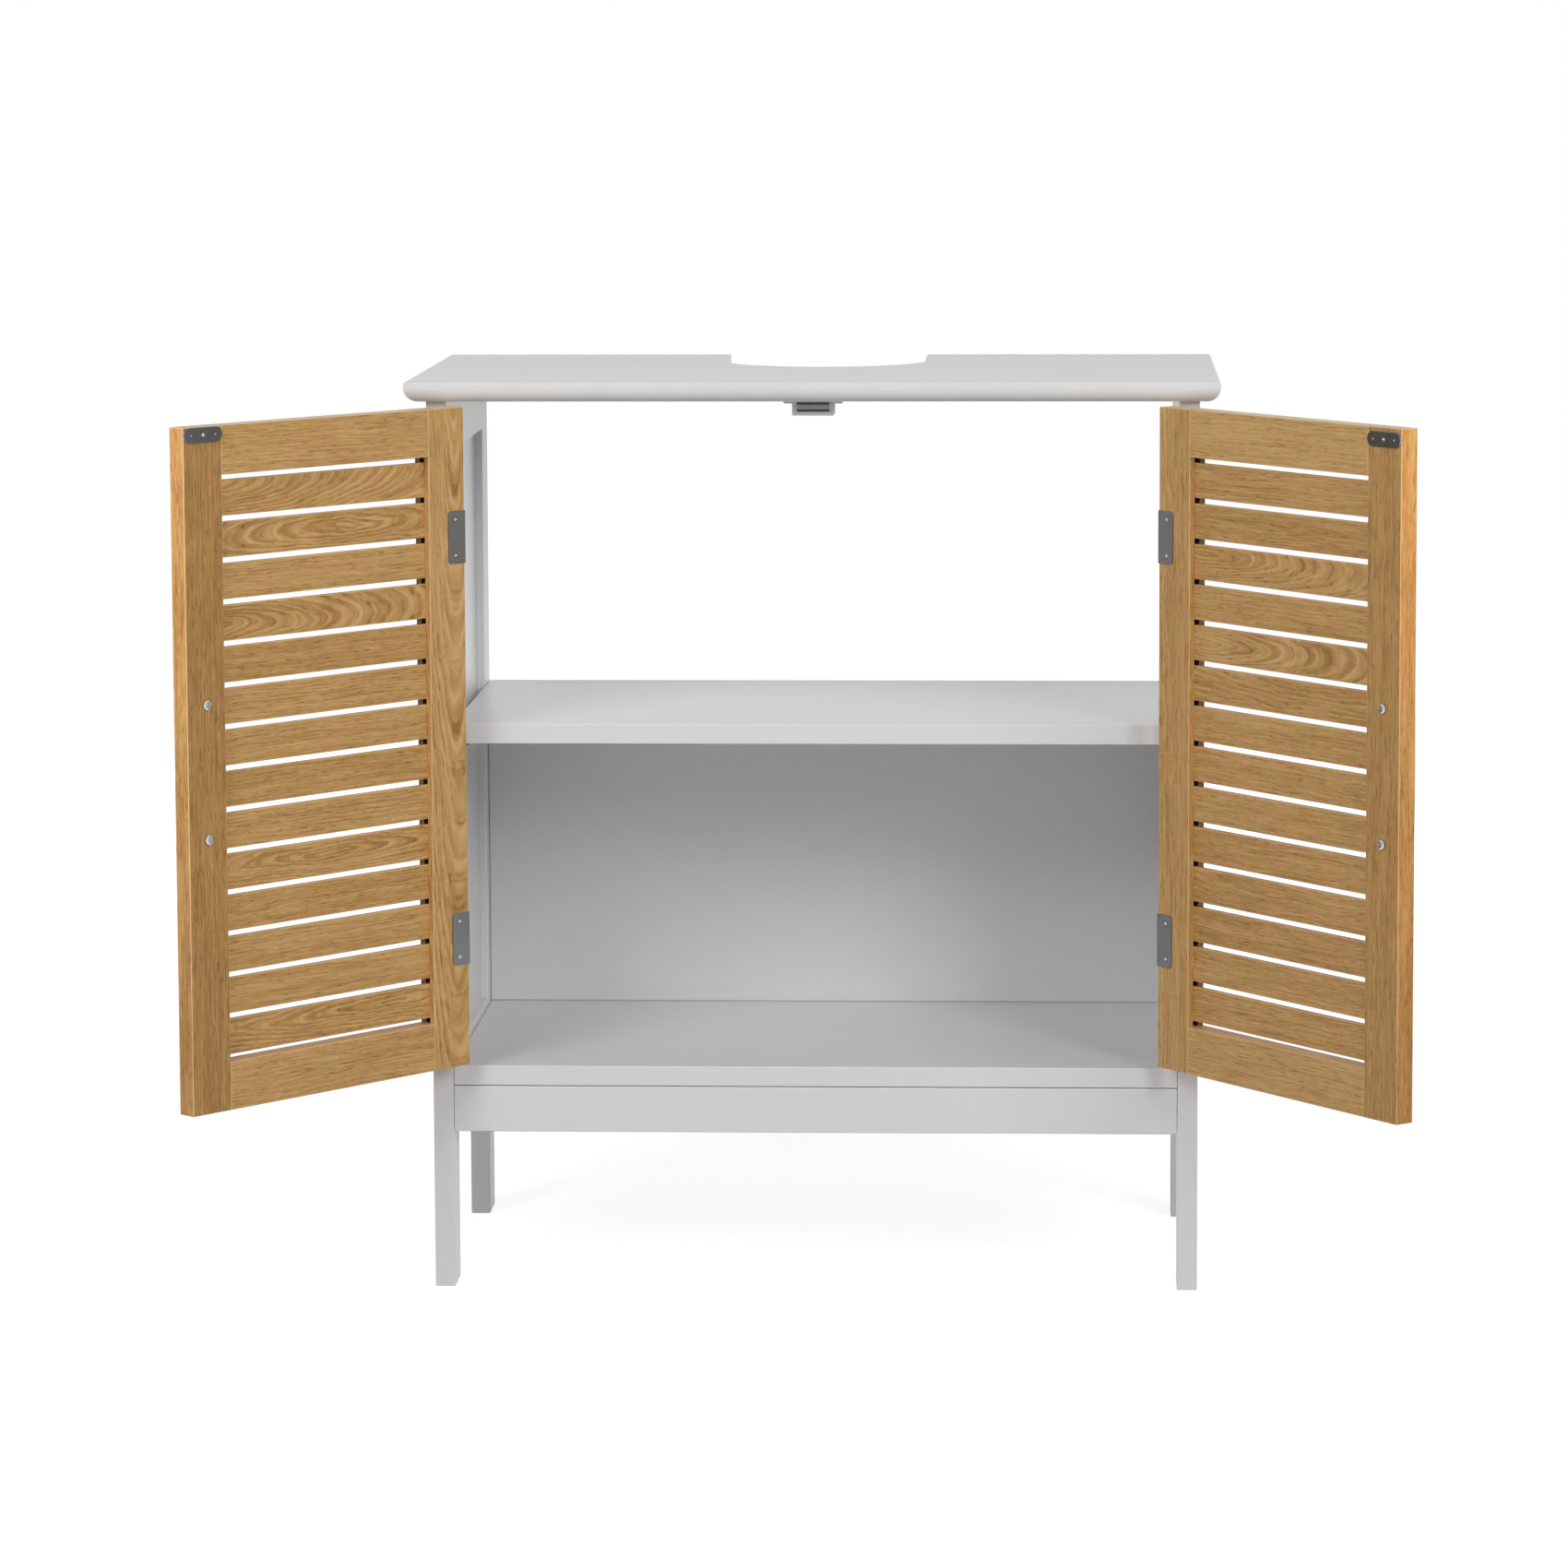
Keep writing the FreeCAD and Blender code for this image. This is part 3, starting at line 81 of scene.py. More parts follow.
class PaintSettings(bpy.types.PropertyGroup):
    """The white lacquer of the carcass."""
    body: colour("Paint", "Lacquer on the flat of a board", (0.80, 0.80, 0.805))
    # Paler lacquer along the edges: a painted highlight.
    arris: colour("Painted edge highlight", "Paler line along the edges, a painted highlight", (0.87, 0.87, 0.87))
    # A dark line along the joint over the bottom panel, painted by height.
    seam: colour("Seam", "Dark line along the joint behind the bottom panel", (0.12, 0.12, 0.12))
    roughness: share("Roughness", "Roughness of the lacquer", 0.32)
    arris_highlight_width: length("Highlight width", "Width of the painted highlight along an edge", 1.1 * MM)
    peel: length("Orange peel", "Size of the ripples in the lacquer", 1.6 * MM)


class OakSettings(bpy.types.PropertyGroup):
    """The oak of the doors."""
    dark: colour("Dark grain", "Late wood and pores", (0.315, 0.158, 0.047))
    middle: colour("Middle grain", "Most of the wood", (0.552, 0.321, 0.112))
    pale: colour("Pale grain", "Early wood", (0.740, 0.479, 0.204))
    # Paler oak along the edges: a painted highlight.
    arris: colour("Edge", "The painted highlight along the edges of a board", (0.88, 0.60, 0.31))
    # Painted light: the upper edge of a door is paler, as lit from above.
    lit_top_edge: colour("Lit top edge", "Upper edge of a door, where its board shows",
                     (0.84, 0.66, 0.47))
    # Near black: painted shade in a stile's groove and the slats' shadow on its outer lip.
    groove: colour("Groove", "Painted shade inside a stile's groove and on its outer lip", (0.060, 0.030, 0.018))
    # Free edge strips: their own tint, and painted light that evens out how brightly each door's
    # strip is lit.
    left_edge_and_light: multiplier("Left free edge", "Edge strip of the left door against its stile",
                          (1.70, 1.64, 1.68))
    right_edge_and_light: multiplier("Right free edge", "Edge strip of the right door against its stile",
                           (1.28, 1.10, 0.98))
    # Painted light: the edge strip is paler at its top than at its foot.
    edge_top_light: share("Edge top light", "Painted light: how much paler an edge strip is at its top than at its foot",
                     0.50)
    ring: length("Ring spacing", "Distance between two rings", 2.6 * MM)
    arris_highlight_width: length("Highlight width", "Width of the painted highlight along an edge", 0.75 * MM)


class FittingSettings(bpy.types.PropertyGroup):
    """The metal, plastic, magnet and dowels of the fittings."""
    nickel: colour("Dark nickel", "Hinge leaves and their screws", (0.285, 0.303, 0.318))
    slate: colour("Black nickel", "Strike plates and their screws", (0.130, 0.142, 0.156))
    zinc: colour("Bright zinc", "Screws, hinge pins and shelf supports", (0.55, 0.56, 0.57))
    # Recesses and rims: wear and a painted glint.
    bare: colour("Bare metal and glint", "Recesses that a screwdriver wore bright, and painted glints", (0.90, 0.90, 0.91))
    cast: colour("Cast zinc", "Cams and their bolts", (0.52, 0.53, 0.54))
    steel: colour("Satin steel", "Door handles", (0.46, 0.46, 0.455))
    plastic: colour("Grey plastic", "Housing of the catch", (0.76, 0.76, 0.765))
    magnet: colour("Magnet", "Ferrite block of the catch", (0.56, 0.56, 0.57))
    # Near black: painted shade on the pole plates, which sit in shadow.
    pole: colour("Pole steel", "Plates over and under the magnet, near black as painted shade", (0.060, 0.060, 0.064))
    beech: colour("Beech", "Dowels", (0.62, 0.43, 0.25))


class StageSettings(bpy.types.PropertyGroup):
    """Floor, light and camera."""
    floor_size: length("Floor", "Side of the square floor", 12.0)
    floor: colour("Floor colour", "Pale floor under the cabinet", (0.46, 0.46, 0.46))
    floor_glow: share("Floor glow", "White that the floor adds where it is looked at", 0.82)
    far_glow: share("Far glow", "The same far from the cabinet, where less light falls", 0.90)
    ambient: share("Ambient", "Strength of the plain white surround", 0.35)
    overhead: share("Overhead", "How much weaker the surround is straight above", 0.33)
    key_power: power("Key lamp", "Power of the softbox in front on the right", 52.0)
    fill_power: power("Fill lamp", "Power of the softbox in front on the left", 36.0)
    rear_power: power("Rear lamp", "Power of the softbox behind", 18.0)
    lens: length("Lens", "Focal length of the camera", 0.12753)


# ---------------------------------------------------------------- node trees
class Graph:
    """One node tree under construction."""

    def __init__(self, tree):
        self.tree = tree

    def add(self, kind, **settings):
        made = self.tree.nodes.new(kind)
        for name, value in settings.items():
            setattr(made, name, value)
        return made

    def put(self, socket, value):
        """Wires a socket in, or sets a plain value. A plain colour has three numbers."""
        if isinstance(value, bpy.types.NodeSocket):
            self.tree.links.new(value, socket)
        elif socket.type == "RGBA":
            socket.default_value = (*value, 1.0)
        else:
            socket.default_value = value

    def math(self, operation, *values, clamp=False):
        made = self.add("ShaderNodeMath", operation=operation, use_clamp=clamp)
        for socket, value in zip(made.inputs, values):
            self.put(socket, value)
        return made.outputs[0]

    def plus(self, *values):
        total = values[0]
        for value in values[1:]:
            total = self.math("ADD", total, value)
        return total

    def minus(self, a, b):
        return self.math("SUBTRACT", a, b)

    def times(self, a, b):
        return self.math("MULTIPLY", a, b)

    def distance(self, a, b):
        return self.math("ABSOLUTE", self.minus(a, b))

    def vector(self, operation, *values):
        made = self.add("ShaderNodeVectorMath", operation=operation)
        for socket, value in zip(made.inputs, values):
            self.put(socket, value)
        return made.outputs["Value" if operation == "LENGTH" else "Vector"]

    def scaled(self, vector, factor):
        """A vector or a colour times one number."""
        made = self.add("ShaderNodeVectorMath", operation="SCALE")
        self.put(made.inputs[0], vector)
        self.put(made.inputs["Scale"], factor)
        return made.outputs["Vector"]

    def combine(self, x, y, z):
        made = self.add("ShaderNodeCombineXYZ")
        for socket, value in zip(made.inputs, (x, y, z)):
            self.put(socket, value)
        return made.outputs[0]

    def split(self, vector):
        made = self.add("ShaderNodeSeparateXYZ")
        self.put(made.inputs[0], vector)
        return made.outputs

    def step(self, value, low, high):
        """Rises smoothly from 0 at low to 1 at high, or falls where low is the larger."""
        made = self.add("ShaderNodeMapRange", interpolation_type="SMOOTHSTEP")
        falls = low > high
        self.put(made.inputs["Value"], value)
        self.put(made.inputs["From Min"], min(low, high))
        self.put(made.inputs["From Max"], max(low, high))
        self.put(made.inputs["To Min"], 1.0 if falls else 0.0)
        self.put(made.inputs["To Max"], 0.0 if falls else 1.0)
        return made.outputs[0]

    def noise(self, spot, detail, roughness=0.5):
        """Smooth noise from 0 to 1 that changes over about one unit."""
        made = self.add("ShaderNodeTexNoise", noise_dimensions="3D")
        self.put(made.inputs["Vector"], spot)
        self.put(made.inputs["Scale"], 1.0)
        self.put(made.inputs["Detail"], detail)
        self.put(made.inputs["Roughness"], roughness)
        return made.outputs[0]

    def blend(self, factor, below, above, kind="MIX"):
        made = self.add("ShaderNodeMix", data_type="RGBA", blend_type=kind)
        self.put(made.inputs["Factor"], factor)
        below_socket, above_socket = [s for s in made.inputs if s.type == "RGBA"]
        self.put(below_socket, below)
        self.put(above_socket, above)
        return [s for s in made.outputs if s.type == "RGBA"][0]

    def ramp(self, factor, stops, steps=False):
        """A colour ramp through (place, colour) stops, even or in steps."""
        made = self.add("ShaderNodeValToRGB")
        bar = made.color_ramp
        if steps:
            bar.interpolation = "CONSTANT"
        while len(bar.elements) < len(stops):
            bar.elements.new(1.0)
        for element, (place, shown) in zip(bar.elements, stops):
            element.position = place
            element.color = (*shown, 1.0)
        self.put(made.inputs[0], factor)
        return made.outputs[0]

    def group(self, tree, **values):
        """Places a node group, with its inputs given by name, and hands back its outputs."""
        made = self.add("ShaderNodeGroup", node_tree=tree)
        for name, value in values.items():
            self.put(made.inputs[name], value)
        return made.outputs

    def bump(self, shader, height, strength, depth):
        """Gives a shader small relief by a height that varies over the surface."""
        made = self.add("ShaderNodeBump")
        self.put(made.inputs["Strength"], strength)
        self.put(made.inputs["Distance"], depth)
        self.put(made.inputs["Height"], height)
        self.put(shader.inputs["Normal"], made.outputs["Normal"])


def new_group(name, inputs, outputs):
    """A shader node group with named sockets. Vector sockets end in a star."""
    tree = bpy.data.node_groups.new(name, "ShaderNodeTree")
    for direction, names in (("INPUT", inputs), ("OUTPUT", outputs)):
        for socket in names:
            kind = "NodeSocketVector" if socket.endswith("*") else "NodeSocketFloat"
            tree.interface.new_socket(socket.rstrip("*"), in_out=direction, socket_type=kind)
    graph = Graph(tree)
    return graph, graph.add("NodeGroupInput").outputs, graph.add("NodeGroupOutput").inputs


def build_edge_distance():
    """Node group: distance in mm from a point on a box-shaped board to its nearest arris."""
    graph, given, result = new_group("Edge Distance", ["Point*", "Low*", "High*"], ["Distance"])
    below = graph.vector("SUBTRACT", given["Point"], given["Low"])
    above = graph.vector("SUBTRACT", given["High"], given["Point"])
    x, y, z = graph.split(graph.vector("ABSOLUTE", graph.vector("MINIMUM", below, above)))
    smaller = graph.math("MINIMUM", x, y)
    larger = graph.math("MAXIMUM", x, y)
    middle = graph.math("MAXIMUM", smaller, graph.math("MINIMUM", larger, z))
    graph.put(result["Distance"], middle)
    return graph.tree


# Noises of the oak: length along the grain and width across it in mm, detail and roughness.
OAK_NOISES = {
    "wave": (95.0, 30.0, 1.0, 0.5),
    "ripple": (15.0, 6.0, 2.0, 0.5),
    "ragged": (11.0, 1.6, 1.0, 0.5),
    "fibre": (30.0, 1.5, 3.0, 0.66),
    "streak": (150.0, 4.0, 2.0, 0.5),
    "dash": (9.0, 1.15, 1.0, 0.5),
    "fleck": (12.0, 1.5, 1.0, 0.5),
    "blot": (52.0, 14.0, 2.0, 0.5),
    "hue": (26.0, 4.0, 2.0, 0.5),
}
# Strength on a straight-grained board, and what a strongly arched one adds to it: wave and
# ripple shift the rings in mm, the others change the tone.
OAK_STRENGTHS = {
    "wave": (5.0, 15.0),
    "ripple": (0.6, 3.0),
    "blot": (0.22, 0.62),
    "early": (0.05, 0.22),
    "late": (0.06, 0.20),
}
# Length along the grain, in mm, between the noises of two boards.
SEED_STRIDE = 517.0
# Rings: how much the depth in the board counts in their radius, how good and lean years take
# turns (changes per mm, and spread in years), and how far a ring's border wanders in years.
RING_FLATNESS = 0.7
GROWTH_RATE, GROWTH_SPREAD = 0.11, 2.4
RAGGEDNESS = 0.35
# Late and early wood rise and fall over these shares of a year.
LATE_RISE, LATE_FALL = (0.42, 0.86), (1.0, 0.90)
EARLY_RISE, EARLY_FALL = (0.0, 0.10), (0.42, 0.14)
# Pores, which are dark dashes, and pale flecks show where their noise passes these values. The
# offset in mm keeps the two noises apart.
DASH, FLECK, FLECK_OFFSET = (0.07, 0.17), (0.06, 0.20), 300.0
# Tone of plain wood, and what each layer adds to it. Pores take away, and more in late wood.
PLAIN_TONE, FIBRE_TONE, STREAK_TONE, FLECK_TONE = 0.57, 1.15, 0.62, 0.16
DASH_TONE, LATE_DASH_TONE = 0.24, 0.12
# Relief of the fibres against that of the pores, and spread of the hue.
FIBRE_HEIGHT, HUE_SPREAD = 0.5, 2.4


def build_oak_figure():
    """Node group: rings, fibres and pores of sawn oak. Lengths are in mm; Flame runs from a
    straight-grained board at 0 to a strongly arched one at 1."""
    names = ["Along", "Across", "Through", "Pith", "Slope", "Turn", "Flame", "Seed", "Ring"]
    graph, given, result = new_group("Oak Figure", names, ["Tone", "Height", "Hue"])
    along, across, through = given["Along"], given["Across"], given["Through"]
    shifted = graph.plus(along, graph.times(given["Seed"], SEED_STRIDE))

    def field(name, side=across):
        """One of the noises, from -0.5 to 0.5."""
        run, width, detail, roughness = OAK_NOISES[name]
        spot = graph.combine(graph.times(shifted, 1.0 / run), graph.times(side, 1.0 / width),
                             graph.times(through, 1.0 / width))
        return graph.minus(graph.noise(spot, detail, roughness), 0.5)

    def strength(name):
        """How strongly something shows on this board."""
        straight, arched = OAK_STRENGTHS[name]
        return graph.plus(straight, graph.times(given["Flame"], arched))

    side = graph.plus(graph.minus(across, given["Pith"]),
                      graph.times(field("wave"), strength("wave")),
                      graph.times(field("ripple"), strength("ripple")))
    lift = graph.plus(graph.times(through, RING_FLATNESS),
                      graph.times(given["Slope"], graph.minus(along, given["Turn"])))
    radius = graph.math("SQRT", graph.plus(graph.times(side, side), graph.times(lift, lift)))
    growth = graph.noise(graph.combine(graph.times(radius, GROWTH_RATE), given["Seed"], 0.5), 1.0)
    year = graph.math("FRACT", graph.plus(graph.math("DIVIDE", radius, given["Ring"]),
                                          graph.times(growth, GROWTH_SPREAD),
                                          graph.times(field("ragged"), RAGGEDNESS)))
    late = graph.times(graph.step(year, *LATE_RISE), graph.step(year, *LATE_FALL))
    early = graph.times(graph.step(year, *EARLY_RISE), graph.step(year, *EARLY_FALL))

    fibre = field("fibre", radius)
    dash = graph.step(field("dash", radius), *DASH)
    fleck = graph.step(field("fleck", graph.plus(radius, FLECK_OFFSET)), *FLECK)
    tone = graph.plus(PLAIN_TONE, graph.times(fibre, FIBRE_TONE),
                      graph.times(field("streak", radius), STREAK_TONE),
                      graph.times(field("blot"), strength("blot")),
                      graph.times(early, strength("early")),
                      graph.times(fleck, FLECK_TONE))
    tone = graph.minus(tone, graph.times(late, strength("late")))
    dash_tone = graph.plus(DASH_TONE, graph.times(late, LATE_DASH_TONE))
    tone = graph.math("SUBTRACT", tone, graph.times(dash, dash_tone), clamp=True)
    hue = graph.math("ADD", 0.5, graph.times(field("hue"), HUE_SPREAD), clamp=True)
    graph.put(result["Tone"], tone)
    graph.put(result["Height"], graph.minus(graph.times(fibre, FIBRE_HEIGHT), dash))
    graph.put(result["Hue"], hue)
    return graph.tree


# Clouds in the lacquer: size in mm, detail and share of each.
CLOUDS = ((70.0, 3.0, 0.7), (9.0, 2.0, 0.3))


def build_paint_film():
    """Node group: cloudiness and orange peel of sprayed lacquer. Point is in mm."""
    graph, given, result = new_group("Paint Film", ["Point*", "Peel"], ["Cloud", "Height"])

    def field(size, detail):
        return graph.noise(graph.scaled(given["Point"], graph.math("DIVIDE", 1.0, size)), detail)

    clouds = [graph.times(field(size, detail), part) for size, detail, part in CLOUDS]
    graph.put(result["Cloud"], graph.plus(*clouds))
    graph.put(result["Height"], field(given["Peel"], 1.0))
    return graph.tree


# Lines per mm along x, y and z, and stains per mm.
BRUSH_LINES, STAINS = (7.0, 7.0, 0.35), 0.16


def build_brushed_metal():
    """Node group: fine lines along Z and faint stains of plated sheet metal. Point is in mm."""
    graph, given, result = new_group("Brushed Metal", ["Point*"], ["Line", "Stain"])
    lines = graph.vector("MULTIPLY", given["Point"], BRUSH_LINES)
    graph.put(result["Line"], graph.noise(lines, 2.0))
    graph.put(result["Stain"], graph.noise(graph.scaled(given["Point"], STAINS), 3.0))
    return graph.tree


def shared(name, builder):
    """A node group by name, built the first time that it is asked for."""
    return bpy.data.node_groups.get(name) or builder()


def new_material(name):
    """An empty principled material: its graph, its shader and its Object coordinates."""
    made = bpy.data.materials.new(name)
    made.use_nodes = True
    graph = Graph(made.node_tree)
    place = graph.add("ShaderNodeTexCoord").outputs["Object"]
    return made, graph, made.node_tree.nodes["Principled BSDF"], place


def nodes_in(slot):
    """The CAD nodes that take the plain finish of one of the record's material slots."""
    return [part["node"] for part in frame["record"]["subparts"]
            if part["material_slot"] == slot and not part["node"].endswith(WORN_GLINTING_PIECES)]


def wear(node, made):
    """Gives a CAD node its material."""
    frame["nodes"][node].material_slots[0].material = made


def wear_all(slot, made):
    """Gives one material to every CAD node of a slot."""
    for node in nodes_in(slot):
        wear(node, made)


# ---------------------------------------------------------------- painted boards
# Boards with a dark line along the joint with the upper face of the board in front of them.
SEAMS = {"back_panel": "bottom_panel"}
# Distance from the joint, in mm, over which the dark line fades.
SEAM_FADE, SEAM_STRENGTH = (1.1, 0.5), 0.45
# Strength of the painted highlight along a board's edges.
ARRIS_HIGHLIGHT_STRENGTH = 0.8
CLOUD_DARKEST, CLOUD_SPREAD = 0.965, 0.07


def paint_board(node, finish):
    """White lacquer on one board: a cloudy film, orange peel and a painted highlight on its
    arrises.
    """
    made, graph, shader, place = new_material("white lacquer " + node.replace("_", " "))
    point = graph.scaled(place, 1 / MM)
    low, high = (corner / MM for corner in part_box(node))
    edge = graph.group(shared("Edge Distance", build_edge_distance),
                       Point=point, Low=low, High=high)
    film = graph.group(shared("Paint Film", build_paint_film), Point=point, Peel=finish.peel / MM)
    shade = graph.plus(CLOUD_DARKEST, graph.times(film["Cloud"], CLOUD_SPREAD))
    # Painted highlight along the board's edges.
    arris = graph.step(edge["Distance"], finish.arris_highlight_width / MM, 0.0)
    body = graph.blend(graph.times(arris, ARRIS_HIGHLIGHT_STRENGTH), graph.scaled(finish.body, shade),
                       finish.arris)
    if node in SEAMS:
        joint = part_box(SEAMS[node])[1].z / MM
        seam = graph.step(graph.distance(graph.split(point)[2], joint), *SEAM_FADE)
        body = graph.blend(graph.times(seam, SEAM_STRENGTH), body, finish.seam)
    graph.put(shader.inputs["Base Color"], body)
    graph.put(shader.inputs["Roughness"], finish.roughness)
    graph.put(shader.inputs["Specular IOR Level"], 0.4)
    graph.bump(shader, film["Height"], strength=0.05, depth=0.2 * MM)
    wear(node, made)


# ---------------------------------------------------------------- oak doors
# Figure of each board: distance in mm from the middle of the board to the heart of its rings,
# lean of the heart against the board, place along the board (mm from the hinge side or from
# the lower end) where the heart comes nearest, strength of the arches, and shade of the board,
# which holds its own tone and also painted light that evens out how the lamps light each door.
# Slats are listed from the top.
SLATS = {
    "left": [
        (15.0, 0.20, 265.0, 0.55, 0.06),
        (2.0, 0.11, 130.0, 0.90, 0.00),
        (40.0, 0.03, 60.0, 0.10, 0.08),
        (-3.0, 0.17, 245.0, 0.78, 0.02),
        (52.0, 0.02, 90.0, 0.08, 0.02),
        (30.0, 0.05, 140.0, 0.25, 0.06),
        (-45.0, 0.02, 80.0, 0.06, 0.07),
        (60.0, 0.02, 10.0, 0.05, 0.01),
        (20.0, 0.07, 150.0, 0.35, 0.07),
        (3.0, 0.09, 150.0, 0.85, 0.01),
        (-38.0, 0.03, 30.0, 0.10, 0.00),
        (48.0, 0.02, 100.0, 0.08, 0.06),
        (-55.0, 0.02, 60.0, 0.06, 0.05),
        (6.0, 0.08, 95.0, 0.70, -0.02),
    ],
    "right": [
        (55.0, 0.02, 50.0, 0.06, 0.10),
        (36.0, 0.03, 90.0, 0.12, -0.01),
        (7.0, 0.15, 60.0, 0.50, 0.05),
        (-50.0, 0.02, 80.0, 0.06, 0.08),
        (1.0, 0.14, 45.0, 0.82, 0.07),
        (16.0, 0.10, 210.0, 0.40, 0.01),
        (48.0, 0.02, 20.0, 0.06, 0.07),
        (-42.0, 0.03, 60.0, 0.08, 0.05),
        (58.0, 0.02, 150.0, 0.05, 0.07),
        (32.0, 0.04, 90.0, 0.15, 0.03),
        (18.0, 0.12, 170.0, 0.30, 0.05),
        (40.0, 0.03, 60.0, 0.10, -0.03),
        (-52.0, 0.02, 40.0, 0.06, 0.05),
        (44.0, 0.03, 120.0, 0.12, 0.03),
    ],
}
BOARDS = {
    "left_door_hinge_stile": (-8.0, 0.085, 570.0, 0.60, 0.10),
    "left_door_meeting_stile": (-48.0, 0.01, 120.0, 0.06, -0.24),
    "left_door_top_rail": (60.0, 0.02, 80.0, 0.06, 0.08),
    "left_door_bottom_rail": (-42.0, 0.03, 60.0, 0.10, 0.07),
    "right_door_hinge_stile": (16.0, 0.02, 260.0, 0.25, 0.09),
    "right_door_meeting_stile": (52.0, 0.01, 160.0, 0.06, -0.10),
    "right_door_top_rail": (-55.0, 0.02, 120.0, 0.06, 0.23),
    "right_door_bottom_rail": (48.0, 0.03, 90.0, 0.08, 0.15),
}
# Spans of the figures' numbers where a colour ramp holds them.
PITH_SPAN, SLOPE_SPAN, TURN_SPAN, SHADE_SPAN = 160.0, 0.4, 800.0, 1.0
# Seeds of the boards' noise, and how far the second door's seeds lie from the first's.
SEEDS = {"hinge_stile": 3.0, "meeting_stile": 5.0, "top_rail": 7.0, "bottom_rail": 9.0,
         "slats": 11.0}
DOOR_SEED_STRIDE = 40.0

# Tone at which the middle colour stands, the two ends of the wood's hue, and roughness of the
# darkest wood with what the palest has less.
MIDDLE_TONE = 0.52
HUES = ((0.97, 1.02, 0.93), (1.05, 0.95, 0.99))
OAK_ROUGHNESS, OAK_SMOOTHING = 0.58, 0.12
# Part of a painted edge highlight's width that has its full strength.
EDGE_CORE, EDGE_HIGHLIGHT_STRENGTH = 0.4, 0.62
# Fades of the doors' details in mm: from the upper edge, where light from above is painted, and
# from the free edge.
TOP_LIGHT_FADE, TOP_LIGHT_STRENGTH = (0.15, 0.02), 0.75
FREE_EDGE_FADE = (0.35, 0.1)
# The same inside a groove, where shade is painted: from the stile's grooved edge and from the
# groove's middle plane.
GROOVE_MOUTH, GROOVE_FLOOR, GROOVE_CHEEK = (0.35, 0.9), (8.6, 8.2), (2.75, 2.65)
GROOVE_SHADE_STRENGTH = 0.96
# The same on the groove's outer lip, where the slats' shadow is painted: outwards from the middle
# plane and from the grooved edge.
LIP_START, LIP_FACE, LIP_SHADOW_STRENGTH = (2.5, 3.0), (0.3, 0.1), 0.72
# Edges nearer than this, in mm, are the same edge.
TOUCH = 1.0


def packed(value, span):
    """A signed number as a share of its span, with nothing at one half."""
    return value / span + 0.5


def unpacked(graph, value, span):
    return graph.times(graph.minus(value, 0.5), span)


class Door:
    """One door as it hangs while closed, in mm: how to turn it shut and where its boards lie."""

    def __init__(self, side):
        self.side = side
        joints = frame["record"]["behaviour"]["joints"]
        joint = [joint for joint in joints if joint["child"] == side + "_door"][0]
        axis = Vector(joint["pos_m"]) / MM
        self.hinge_x = axis.x
        self.turn = math.radians(joint["range_deg"][0] * joint["axis"][2])
        self.closing = Matrix.Rotation(self.turn, 3, "Z")
        self.shift = axis - self.closing @ axis
        stiles = self.box("hinge_stile"), self.box("meeting_stile")
        left_stile, right_stile = sorted(stiles, key=lambda corners: corners[0].x)
        self.between = (left_stile[1].x, right_stile[0].x)
        self.free_x = right_stile[1].x if side == "left" else left_stile[0].x
        rail_low, rail_high = self.box("top_rail")
        self.rail_under, self.top = rail_low.z, rail_high.z

    def box(self, piece):
        """Lowest and highest corner of one of its nodes with the door closed."""
        mesh = frame["nodes"][self.side + "_door_" + piece].data
        points = [self.closing @ (vertex.co / MM) + self.shift for vertex in mesh.vertices]
        return (Vector([min(point[i] for point in points) for i in range(3)]),
                Vector([max(point[i] for point in points) for i in range(3)]))

    def point(self, graph, place):
        """Object coordinates turned back to the closed door, in mm."""
        made = graph.add("ShaderNodeMapping", vector_type="POINT")
        graph.put(made.inputs["Vector"], place)
        graph.put(made.inputs["Location"], self.shift)
        graph.put(made.inputs["Rotation"], (0.0, 0.0, self.turn))
        graph.put(made.inputs["Scale"], (1 / MM, 1 / MM, 1 / MM))
        return made.outputs[0]


def stacked(graph, height, figures, pitch):
    """For a stack of like boards whose lower edges lie a pitch apart: number of the board from
    below, height above its lower edge, and its own figure."""
    count = len(figures)
    number = graph.math("FLOOR", graph.times(height, 1 / pitch))
    number = graph.math("MINIMUM", graph.math("MAXIMUM", number, 0.0), count - 1.0)
    shapes, looks = [], []
    for i, (pith, slope, turn, flame, shade) in enumerate(reversed(figures)):
        shape = (packed(pith, PITH_SPAN), slope / SLOPE_SPAN, packed(turn, TURN_SPAN))
        shapes.append((i / count, shape))
        looks.append((i / count, (flame, packed(shade, SHADE_SPAN), 0.0)))
    choice = graph.times(graph.plus(number, 0.5), 1 / count)
    pith, slope, turn = graph.split(graph.ramp(choice, shapes, steps=True))
    flame, shade, _ = graph.split(graph.ramp(choice, looks, steps=True))
    figure = (unpacked(graph, pith, PITH_SPAN), graph.times(slope, SLOPE_SPAN),
              unpacked(graph, turn, TURN_SPAN), flame, unpacked(graph, shade, SHADE_SPAN))
    return number, graph.minus(height, graph.times(number, pitch)), figure


